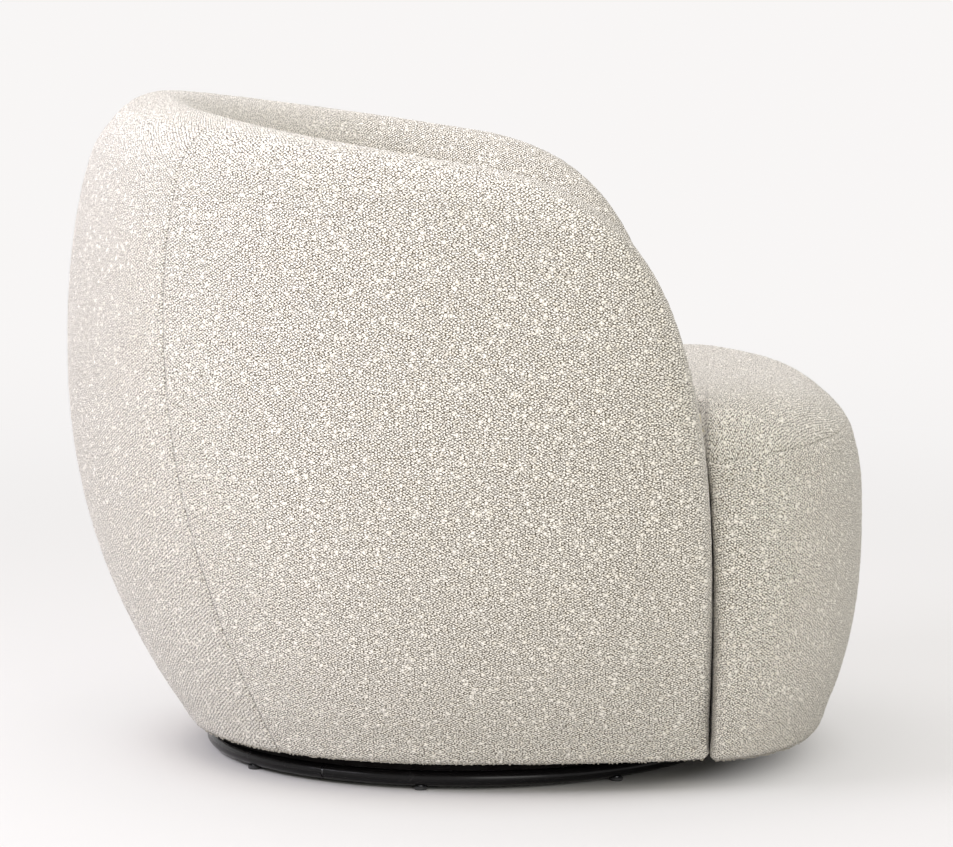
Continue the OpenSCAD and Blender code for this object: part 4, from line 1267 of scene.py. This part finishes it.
@dataclass(frozen=True)
class Trim:
    """Geometry Nodes that set a small bar again and again along a path: a staple, a stitch or a loop."""

    name: str
    pitch: float
    size: Vec
    scatter: float = 0.0
    seed: int = 5

    def tree(self) -> bpy.types.NodeTree:
        """Return the node tree, made once for each kind of trim."""
        known = bpy.data.node_groups.get(self.name)
        if known:
            return known
        inputs = {"Pitch": "Float", "Size": "Vector", "Scatter": "Float", "Finish": "Material"}
        graph = nodes_group(self.name, inputs)
        given = graph.add("NodeGroupInput").outputs
        path = {"Curve": given["Geometry"], "Length": given["Pitch"]}
        points = graph.add("GeometryNodeCurveToPoints", path, mode="LENGTH").outputs
        span = {"Min": (-1.0,) * 3, "Max": (1.0,) * 3, "Seed": self.seed}
        jog = graph.add("FunctionNodeRandomValue", span, data_type="FLOAT_VECTOR").outputs[0]
        offset = graph.scaled(jog, given["Scatter"])
        strewn = graph.add("GeometryNodeSetPosition", {"Geometry": points["Points"], "Offset": offset})
        bar = graph.add("GeometryNodeMeshCube", {"Size": given["Size"]}).outputs[0]
        soft = graph.add("GeometryNodeSubdivisionSurface", {"Mesh": bar, "Level": 1}).outputs[0]
        placed = graph.add("GeometryNodeInstanceOnPoints", {
            "Points": strewn.outputs[0], "Instance": soft, "Rotation": points["Rotation"]}).outputs[0]
        real = graph.add("GeometryNodeRealizeInstances", {"Geometry": placed}).outputs[0]
        dye = {"Geometry": real, "Material": given["Finish"]}
        graph.add("NodeGroupOutput", {"Geometry": graph.add("GeometryNodeSetMaterial", dye).outputs[0]})
        return graph.tree

    def along(self, paths: Sequence[np.ndarray], finish: bpy.types.Material) -> bpy.types.Object:
        """Return the trim along some paths.

        Args:
            paths: Points of each path.
            finish: Material of the trim.

        Returns:
            The trim as one plain mesh.
        """
        curve = bpy.data.curves.new(self.name, "CURVE")
        curve.dimensions = "3D"
        for path in paths:
            spline = curve.splines.new("POLY")
            spline.points.add(len(path) - 1)
            flat = np.concatenate([path, np.ones((len(path), 1))], 1)
            spline.points.foreach_set("co", flat.astype(np.float32).ravel())
        piece = bpy.data.objects.new(self.name, curve)
        bpy.context.scene.collection.objects.link(piece)
        values = {"Pitch": self.pitch, "Size": self.size, "Scatter": self.scatter, "Finish": finish}
        return run_tree(piece, self.tree(), values)


def dressed(piece: bpy.types.Object, slot: str, *nodes: str, fill: float | None = None) -> bpy.types.Object:
    """Give a chair piece its finish and let it stand for its solids.

    Args:
        piece: The piece.
        slot: Material slot of the record.
        *nodes: Solids that it stands for.
        fill: How full a padded piece is, or None for a piece that isn't padded; not used.

    Returns:
        The piece.
    """
    if not piece.data.materials or piece.data.materials[0] is None:
        piece.data.materials.clear()
        piece.data.materials.append(FINISHES[slot].material())
    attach(piece, CHAIR)
    if nodes:
        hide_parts(*nodes)
    log.info("%s: %d points", piece.name, len(piece.data.vertices))
    return piece


@dataclass
class TubCovers:
    """The four cloth pieces round the tub, with their hems: inside, back and two sides."""

    form: TubForm = field(default_factory=TubForm)
    step: float = 0.0038
    seam_row: float = -2.0
    seam_station: float = 4.4
    middle_row: float = -6.0
    hem_round: float = 0.007
    hem_turn: float = 0.019
    hem_end: float = 0.002
    hem_rows: int = 5
    held_rows: int = 7
    joint_square: float = 0.7
    crest_seam: float = 0.45
    thread_depth: float = 0.0020
    thread_end: float = 0.05
    crest_points: int = 500
    side_points: int = 200
    nap: Nap = field(default_factory=Nap)
    settling: Settling = field(default_factory=Settling)

    def lines(self, s0: float, s1: float, v0: float, v1: float,
              seams: Seams) -> tuple[np.ndarray, np.ndarray]:
        """Return the stations and rows of an even grid of the tub's skin.

        Args:
            s0: First station.
            s1: Last station.
            v0: First row.
            v1: Last row.
            seams: How plain a seam each of the four edges is.

        Returns:
            The stations and the rows.
        """
        top = float(self.form.top)
        row = np.array([max(min(self.middle_row, v1), v0)])
        middle = np.array([top if s0 > 0 else -top if s1 < 0 else 0.0])
        stations = divided(lambda s: self.form.skin(s, row)[:, 0], s0, s1, self.step, seams[:2])
        rows = divided(lambda v: self.form.skin(middle, v)[0], v0, v1, self.step, seams[2:])
        return stations, rows

    def hemmed(self, points: np.ndarray, flip: bool = False) -> np.ndarray:
        """Round the lower edge of a grid of cloth and turn it in under the frame.

        Args:
            points: The grid, whose first row is the hem.
            flip: Whether its normals point the other way, as those of the front band do.

        Returns:
            The grid with the turned-in rows before the others.
        """
        flat = Cloth(points, NO_SEAM, flip=flip).normals()
        flat[..., 2] = 0
        flat /= np.maximum(np.linalg.norm(flat, axis=-1, keepdims=True), TINY)
        to_joint = unit(flat[..., 1] if flip else -flat[..., 1])
        r = self.hem_round * (1 - self.joint_square * to_joint)
        low = r - np.clip(points[..., 2] - self.form.hem_z, 0, r)
        points = points - flat * (r - np.sqrt(r * r - low * low))[..., None]
        under = points[:, :1] - flat[:, :1] * self.turns()[None, :, None]
        return np.concatenate([under, points], 1)

    def turns(self) -> np.ndarray:
        """Return how far under the frame each row of the turned-in hem reaches."""
        return np.linspace(self.hem_turn - self.hem_round, self.hem_end, self.hem_rows)

    def panel(self, name: str, s0: float, s1: float, seams: Seams) -> bpy.types.Object:
        """Return one outside panel.

        Args:
            name: Name of the piece.
            s0: First station.
            s1: Last station.
            seams: How plain a seam each of the four edges is.

        Returns:
            The piece.
        """
        stations, rows = self.lines(s0, s1, -float(self.form.out_rows), self.seam_row, seams)
        points = self.hemmed(self.form.skin(stations, rows))
        chart = self.form.outside_chart(stations, rows, 0.0 if s0 * s1 < 0 else 90.0)
        under = np.repeat(chart[:, :1], self.hem_rows, 1)
        under[..., 1] -= self.turns()[None, :]
        chart = np.concatenate([under, chart], 1)
        return self.finished(Cloth(points, seams, chart=chart, hem=self.held_rows), name)

    def finished(self, cloth: Cloth, name: str) -> bpy.types.Object:
        """Return a cloth piece, settled over its padding, with its loops raised."""
        settled = self.settling.settle(cloth)
        return self.nap.apply(settled.build(name), FINISHES["boucle"].material())

    def build(self) -> None:
        """Build and dress the covers."""
        foot, seam = float(self.form.foot), self.seam_station
        edges = (0.0, 0.0, self.crest_seam, 0.0)
        stations, rows = self.lines(-foot, foot, self.seam_row, float(self.form.in_rows), edges)
        chart = self.form.inside_chart(stations, rows)
        cover = self.finished(Cloth(self.form.skin(stations, rows), edges, chart=chart), "inside_cloth")
        dressed(cover, "boucle", "inside_cover", fill=CLOTH_FILL)
        panels = (
            ("back_cloth", "outer_back_cover", -seam, seam, (1.0, 1.0)),
            ("left_side_cloth", "outer_left_cover", seam, foot, (1.0, 0.0)),
            ("right_side_cloth", "outer_right_cover", -foot, -seam, (0.0, 1.0)),
        )
        for name, solid, s0, s1, sides in panels:
            panel = self.panel(name, s0, s1, (*sides, 0.0, self.crest_seam))
            dressed(panel, "boucle", solid, fill=CLOTH_FILL)

    def seam_paths(self) -> list[np.ndarray]:
        """Return the paths of the tub's seams, at the bottom of their grooves."""
        form, end, edge = self.form, self.thread_end, self.seam_station
        along = np.linspace(-form.foot + end, form.foot - end, self.crest_points)
        down = np.linspace(-form.out_rows + 2 * end, self.seam_row - end, self.side_points)
        crest, sides = (form.skin(stations, rows, lambda row: self.thread_depth) for stations, rows in
                        ((along, np.array([self.seam_row])), (np.array([-edge, edge]), down)))
        return [crest[:, 0], *sides]


@dataclass
class TubPadding:
    """The six foam pieces of the tub, under the cloth."""

    form: TubForm = field(default_factory=TubForm)
    under_cloth: float = 0.0048
    wrap: float = 0.0153
    lining: float = 0.0253
    glue: float = 0.02
    hem_rows: float = 0.12
    back_columns: int = 49
    arm_columns: int = 45
    lining_rows: int = 43
    wrap_rows: int = 21

    def depth(self, row: float) -> float:
        """Return the depth of the foam's inner face under the skin at a row."""
        share = unit(np.array(-row / self.form.round_rows))
        return float(blend(self.lining, self.wrap, share))

    def piece(self, name: str, stations: np.ndarray, rows: np.ndarray) -> None:
        """Build one foam piece and let it stand for the solid of the same name."""
        outer = self.form.skin(stations, rows, lambda row: self.under_cloth)
        inner = self.form.skin(stations, rows, self.depth)
        dressed(slab(f"{name}_pad", inner, outer), "foam", name, fill=FOAM_FILL)

    def build(self) -> None:
        """Build the foam pieces."""
        form = self.form
        back = np.linspace(-form.top, form.top, self.back_columns)
        arm = np.linspace(form.top + self.glue, form.foot, self.arm_columns)
        lining = np.linspace(-form.round_rows, form.in_rows, self.lining_rows)
        wrap = np.linspace(-form.out_rows + self.hem_rows, -form.round_rows - self.glue, self.wrap_rows)
        linings = ("back_foam", "arm_foam_left", "arm_foam_right")
        wraps = ("back_wrap_foam", "side_wrap_foam_left", "side_wrap_foam_right")
        for names, rows in ((linings, lining), (wraps, wrap)):
            for name, stations in zip(names, (back, arm, -arm[::-1])):
                self.piece(name, stations, rows)


def slab(name: str, inner: np.ndarray, outer: np.ndarray) -> bpy.types.Object:
    """Return a closed solid between two grids of points, outer being the outward side."""
    n, m = outer.shape[:2]
    index = np.arange(2 * n * m).reshape(2, n, m)
    grid = Cloth(outer, NO_SEAM)
    faces = grid.quads(index[1], False) + grid.quads(index[0], True)
    faces += grid.rims(index[1], index[0], np.arange(n), np.arange(m))
    return shell(name, np.concatenate([inner.reshape(-1, 3), outer.reshape(-1, 3)]), faces)


@dataclass
class Seat:
    """The fixed seat: its cloth, the front band of cloth and the foam under both."""

    form: SeatForm = field(default_factory=SeatForm)
    covers: TubCovers = field(default_factory=TubCovers)
    step: float = 0.0038
    girth_z: float = 0.25
    foam_z: float = 0.3095
    foam_foot: float = 0.006
    foam_in: float = 0.0053
    foam_end: float = 0.985
    foam_step: float = 0.014
    foam_rings: int = 16
    foam_power: float = 1.2
    nose_foam_in: tuple[float, float] = (0.0373, 0.0038)
    nose_foam_rows: int = 30
    nose_foam_columns: int = 61
    nose_seam: float = 0.45
    thread_depth: float = 0.0020
    thread_end: float = 0.99
    thread_points: int = 300
    turned: tuple[float, ...] = (0.004, 0.009, 0.015, 0.022, 0.030, 0.040)
    pressed: tuple[float, ...] = (0.0013, 0.0012, 0.0009, 0.0008, 0.0008, 0.0008)
    press_top: float = 0.245
    press_fade: float = 0.05

    def outline(self, step: float) -> np.ndarray:
        """Return evenly spaced stations right round the seat."""
        half = float(self.form.half)
        one = divided(lambda i: self.form.edge(i, self.form.crease_z, 0.0), 0.0, half, step)
        return np.concatenate([-one[1:-1][::-1], one])

    def top(self) -> Cloth:
        """Return the seat's crowned cloth."""
        reach = self.form.nose_half_w
        shares = 1 - spread(reach, self.step, (self.nose_seam, 0.0))[:-1] / reach
        points = self.form.crown(self.outline(self.step), shares, 0.0)
        middle = np.array([0.0, self.form.seat_y])
        out = points[:, :1, :2] - middle
        out /= np.linalg.norm(out, axis=-1, keepdims=True)
        run = run_along(points[:, ::-1], 1)[:, ::-1]
        run += np.linalg.norm(points[:, -1, :2] - middle, axis=-1)[:, None]
        seams = (0.0, 0.0, self.nose_seam, 0.0)
        return Cloth(points, seams, ring=True, flip=True, chart=out * run[..., None])

    def band(self) -> Cloth:
        """Return the front band, from its upper seam to the hem."""
        form = self.form
        hem, top = form.tub.hem_z, form.seam_z + form.seam_rise
        heights = divided(lambda z: np.stack([form.inset(z), z], -1), top, hem, self.step,
                          (self.nose_seam, 0.0))
        drop = (top - heights[::-1]) / (top - hem)
        t = divided(lambda t: form.nose(t, self.girth_z), 0.0, 1.0, self.step)
        t = np.concatenate([-t[1:][::-1], t])
        rows = []
        for share in drop:
            z = blend(form.seam(np.abs(t)), hem, share)
            rows.append(self.returned(self.round_nose(t, z)))
        points = self.covers.hemmed(np.stack(rows, 1), flip=True)
        reach = run_along(points[:, -1])
        seams = (0.0, 0.0, 0.0, self.nose_seam)
        across = reach - reach[-1] / 2
        return Cloth(points, seams, flip=True, across=across, hem=self.covers.held_rows)

    def round_nose(self, t: np.ndarray, z: float | np.ndarray, c: float = 0.0) -> np.ndarray:
        """Return points round the nose at heights z and depth c, where t is negative on the chair's right."""
        z = np.broadcast_to(z, t.shape)
        return np.concatenate([self.signed(self.form.nose(np.abs(t), z, c), t), z[:, None]], 1)

    @staticmethod
    def signed(p: np.ndarray, t: np.ndarray) -> np.ndarray:
        """Return points of the nose, mirrored to the chair's right where t is negative."""
        return p * np.stack([np.where(t < 0, -1.0, 1.0), np.ones_like(t)], -1)

    def returned(self, row: np.ndarray) -> np.ndarray:
        """Return a row of the band with its two ends turned in behind the nose, pressed towards the arms."""
        ends = []
        for end, side in ((row[0], -1.0), (row[-1], 1.0)):
            flange = np.repeat(end[None, :], len(self.turned), 0)
            flange[:, 0] -= side * np.array(self.turned)
            flange[:, 1] += np.array(self.pressed) * unit((self.press_top - end[2]) / self.press_fade)
            ends.append(flange)
        return np.concatenate([ends[0][::-1], row, ends[1]])

    def foams(self) -> None:
        """Build the seat's foam and the nose's foam."""
        form = self.form
        ring = self.outline(self.foam_step)
        edge = self.signed(form.edge(np.abs(ring), self.foam_z, self.foam_in), ring)
        lower = np.concatenate([edge, np.full((len(ring), 1), self.foam_z)], 1)
        shares = 1 - np.linspace(0, 1, self.foam_rings)[:-1] ** self.foam_power
        points = np.concatenate([lower[:, None], form.crown(ring, shares, self.foam_in)], 1)
        dressed(stacked("seat_pad", points), "foam", "seat_foam", fill=FOAM_FILL)
        levels = np.linspace(self.foam_z, form.tub.hem_z + self.foam_foot, self.nose_foam_rows)
        t = np.linspace(-self.foam_end, self.foam_end, self.nose_foam_columns)
        sheets = [np.stack([self.round_nose(t, z, c) for z in levels], 1) for c in self.nose_foam_in]
        dressed(slab("nose_pad", *sheets), "foam", "nose_foam", fill=FOAM_FILL)

    def build(self) -> None:
        """Build and dress the seat."""
        for cloth, name, solid in ((self.top(), "seat_cloth", "seat_cover"),
                                   (self.band(), "front_band_cloth", "front_band")):
            dressed(self.covers.finished(cloth, name), "boucle", solid, fill=CLOTH_FILL)
        self.foams()

    def seam_paths(self) -> list[np.ndarray]:
        """Return the path of the seam round the nose."""
        t = np.linspace(-self.thread_end, self.thread_end, self.thread_points)
        return [self.round_nose(t, self.form.seam(np.abs(t)), self.thread_depth)]


def stacked(name: str, points: np.ndarray) -> bpy.types.Object:
    """Return a closed solid from rings of points, one ring to a row, with flat ends."""
    n, m = points.shape[:2]
    index = np.arange(n * m).reshape(n, m)
    faces = Cloth(points, NO_SEAM, ring=True).quads(index, True)
    faces += [index[:, 0][::-1].tolist(), index[:, -1].tolist()]
    return shell(name, points.reshape(-1, 3), faces)


@dataclass
class SmallTrim:
    """Staples that hold the dust cover, the thread in the seams and the loops that stand out at the hem."""

    covers: TubCovers
    seat: Seat
    staple: Trim = Trim("dust_cover_staples", 0.038, (0.0011, 0.0006, 0.0100))
    stitch: Trim = Trim("seam_thread", 0.0052, (0.0008, 0.0008, 0.0036))
    loops: Trim = Trim("hem_loops", 0.0021, (0.0021, 0.0020, 0.0022), scatter=0.0009)
    low: float = 0.0004
    low_in: float = 0.0046
    low_row: float = 0.04
    tub_points: int = 700
    nose_end: float = 0.98
    nose_points: int = 300
    staple_in: float = 0.029
    staple_end: float = 17.0
    staple_points: int = 300
    staple_sink: float = 0.0002

    def hem_paths(self) -> list[np.ndarray]:
        """Return the lowest lines of the cloth that still show, round the tub and round the nose."""
        form = self.covers.form
        stations = np.linspace(-form.foot, form.foot, self.tub_points)
        rows = np.linspace(-form.out_rows, self.low_row - form.out_rows, 3)
        tub = self.covers.hemmed(form.skin(stations, rows))[:, self.covers.hem_rows + 1]
        t = np.linspace(-self.nose_end, self.nose_end, self.nose_points)
        return [tub, self.seat.round_nose(t, form.hem_z + self.low, self.low_in)]

    def staple_paths(self) -> list[np.ndarray]:
        """Return the path of the staples, just inside the edge of the dust cover."""
        form = self.covers.form
        stations = np.linspace(-self.staple_end, self.staple_end, self.staple_points)
        tub = form.skin(stations, np.array([-float(form.out_rows)]), lambda row: self.staple_in)[:, 0]
        tub[:, 2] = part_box("dust_cover")[0][2] - self.staple_sink
        return [tub]

    def build(self) -> None:
        """Build and dress the staples, the thread and the loops at the hem."""
        seams = self.covers.seam_paths() + self.seat.seam_paths()
        for trim, paths, finish, slot in ((self.staple, self.staple_paths(), "zinc", "zinc"),
                                          (self.stitch, seams, "thread", "boucle"),
                                          (self.loops, self.hem_paths(), "loop", "boucle")):
            dressed(trim.along(paths, FINISHES[finish].material()), slot)


@dataclass
class Frame:
    """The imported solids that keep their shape: ring, swivel, frame and springs."""

    def build(self) -> None:
        """Give every solid that shows the finish of its slot."""
        slots = {part["node"]: part["material_slot"] for part in frame["record"]["subparts"]}
        for name, node in frame["nodes"].items():
            node.data.materials.clear()
            node.data.materials.append(FINISHES[slots[name]].material())
        log.info("%d solids have their finish", len(slots))


@dataclass
class Studio:
    """Pale floor and backdrop, soft lamps and the photograph's viewpoint."""

    eye: Vec = (-4.688, 0.038, 0.902)
    target: Vec = (0.0, -0.013, 0.349)
    lit: Vec = (0.0, 0.0, 0.35)
    focal_px: float = 4348.0
    width_px: float = 953.0
    sensor: float = 36.0
    far: float = 200.0
    reach: float = 60.0
    floor_colour: Colour = (0.66, 0.652, 0.644)
    near_white: Colour = (0.880, 0.865, 0.860)
    far_white: Colour = (0.940, 0.922, 0.916)
    near_share: float = 0.58
    sky: Colour = (1.0, 0.965, 0.89)
    sky_strength: float = 0.72
    backdrop: Colour = (0.93, 0.925, 0.92)

    @staticmethod
    def placed(name: str, data: bpy.types.ID, place: Vec, target: Vec) -> bpy.types.Object:
        """Return a new object of this data that stands at a place and looks at a target."""
        made = bpy.data.objects.new(name, data)
        made.location = place
        made.rotation_mode = "QUATERNION"
        made.rotation_quaternion = (Vector(target) - Vector(place)).to_track_quat("-Z", "Y")
        bpy.context.scene.collection.objects.link(made)
        return made

    def camera(self) -> None:
        """Place the camera."""
        data = bpy.data.cameras.new("view")
        data.sensor_fit = "HORIZONTAL"
        data.sensor_width = self.sensor
        data.lens = self.focal_px / self.width_px * self.sensor
        data.clip_end = self.far
        bpy.context.scene.camera = self.placed("view", data, self.eye, self.target)

    def lamp(self, name: str, place: Vec, size: float, power: float, colour: Colour) -> None:
        """Add a square soft lamp that faces the chair."""
        data = bpy.data.lights.new(name, "AREA")
        data.size = size
        data.energy = power
        data.color = colour
        self.placed(name, data, place, self.lit)

    def floor(self) -> None:
        """Add the floor.

        To the camera it glows white as painted light away from the chair, a little darker nearer it, and
        keeps its shadow near it.
        """
        r = self.reach
        corners = np.array([(-r, -r, 0.0), (r, -r, 0.0), (r, r, 0.0), (-r, r, 0.0)])
        plane = shell("floor", corners, [[0, 1, 2, 3]])
        made = bpy.data.materials.new("pale_floor")
        made.use_nodes = True
        graph, nodes = Graph(made.node_tree), made.node_tree.nodes
        shader = nodes["Principled BSDF"]
        colour = (*self.floor_colour, 1.0)
        graph.feed(shader, {"Base Color": colour, "Roughness": 0.9, "Specular IOR Level": 0.1})
        away = graph.measure("LENGTH", graph.place())
        # Painted light: the glow is dimmer near the chair and whiter far away.
        tone = graph.tone(graph.fade(away, start=0.5, end=5.0), self.near_white, self.far_white)
        glow = graph.add("ShaderNodeEmission", {"Color": tone, "Strength": 1.0}).outputs[0]
        path = graph.add("ShaderNodeLightPath").outputs
        seen = graph.math("MAXIMUM", path["Is Camera Ray"], path["Is Transmission Ray"])
        far = graph.fade(away, start=0.5, end=3.0, low=self.near_share)
        share = graph.math("MULTIPLY", graph.fade(away, start=0.29, end=0.44), far)
        both = {0: graph.math("MULTIPLY", seen, share), 1: shader.outputs[0], 2: glow}
        mix = graph.add("ShaderNodeMixShader", both).outputs[0]
        graph.feed(nodes["Material Output"], {"Surface": mix})
        plane.data.materials.append(made)

    def world(self) -> None:
        """Set the pale surroundings."""
        world = bpy.data.worlds.new("studio")
        world.use_nodes = True
        bpy.context.scene.world = world
        graph, nodes = Graph(world.node_tree), world.node_tree.nodes
        soft = nodes["Background"]
        graph.feed(soft, {"Color": (*self.sky, 1.0), "Strength": self.sky_strength})
        plain = graph.add("ShaderNodeBackground", {"Color": (*self.backdrop, 1.0), "Strength": 1.0})
        path = graph.add("ShaderNodeLightPath").outputs
        seen = graph.math("MAXIMUM", path["Is Camera Ray"], path["Is Glossy Ray"])
        mix = graph.add("ShaderNodeMixShader", {0: seen, 1: soft.outputs[0], 2: plain.outputs[0]})
        graph.feed(nodes["World Output"], {"Surface": mix.outputs[0]})

    def build(self) -> None:
        """Build the studio."""
        self.camera()
        self.floor()
        self.world()
        self.lamp("key", (-1.6, 3.0, 2.6), size=1.8, power=122.0, colour=(0.92, 0.895, 1.0))
        self.lamp("top", (0.2, 0.6, 3.2), size=2.4, power=58.0, colour=(0.96, 0.94, 1.0))
        self.lamp("fill", (-3.6, -1.2, 1.6), size=2.0, power=50.0, colour=(1.0, 1.0, 0.95))
        bpy.context.scene.view_settings.view_transform = "Standard"


def main() -> None:
    """Build the chair's dressed pieces and its studio in order."""
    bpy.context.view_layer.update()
    Studio().build()
    Frame().build()
    covers = TubCovers()
    covers.build()
    TubPadding().build()
    seat = Seat(covers=covers)
    seat.build()
    SmallTrim(covers, seat).build()


if __name__ == "__main__":
    main()
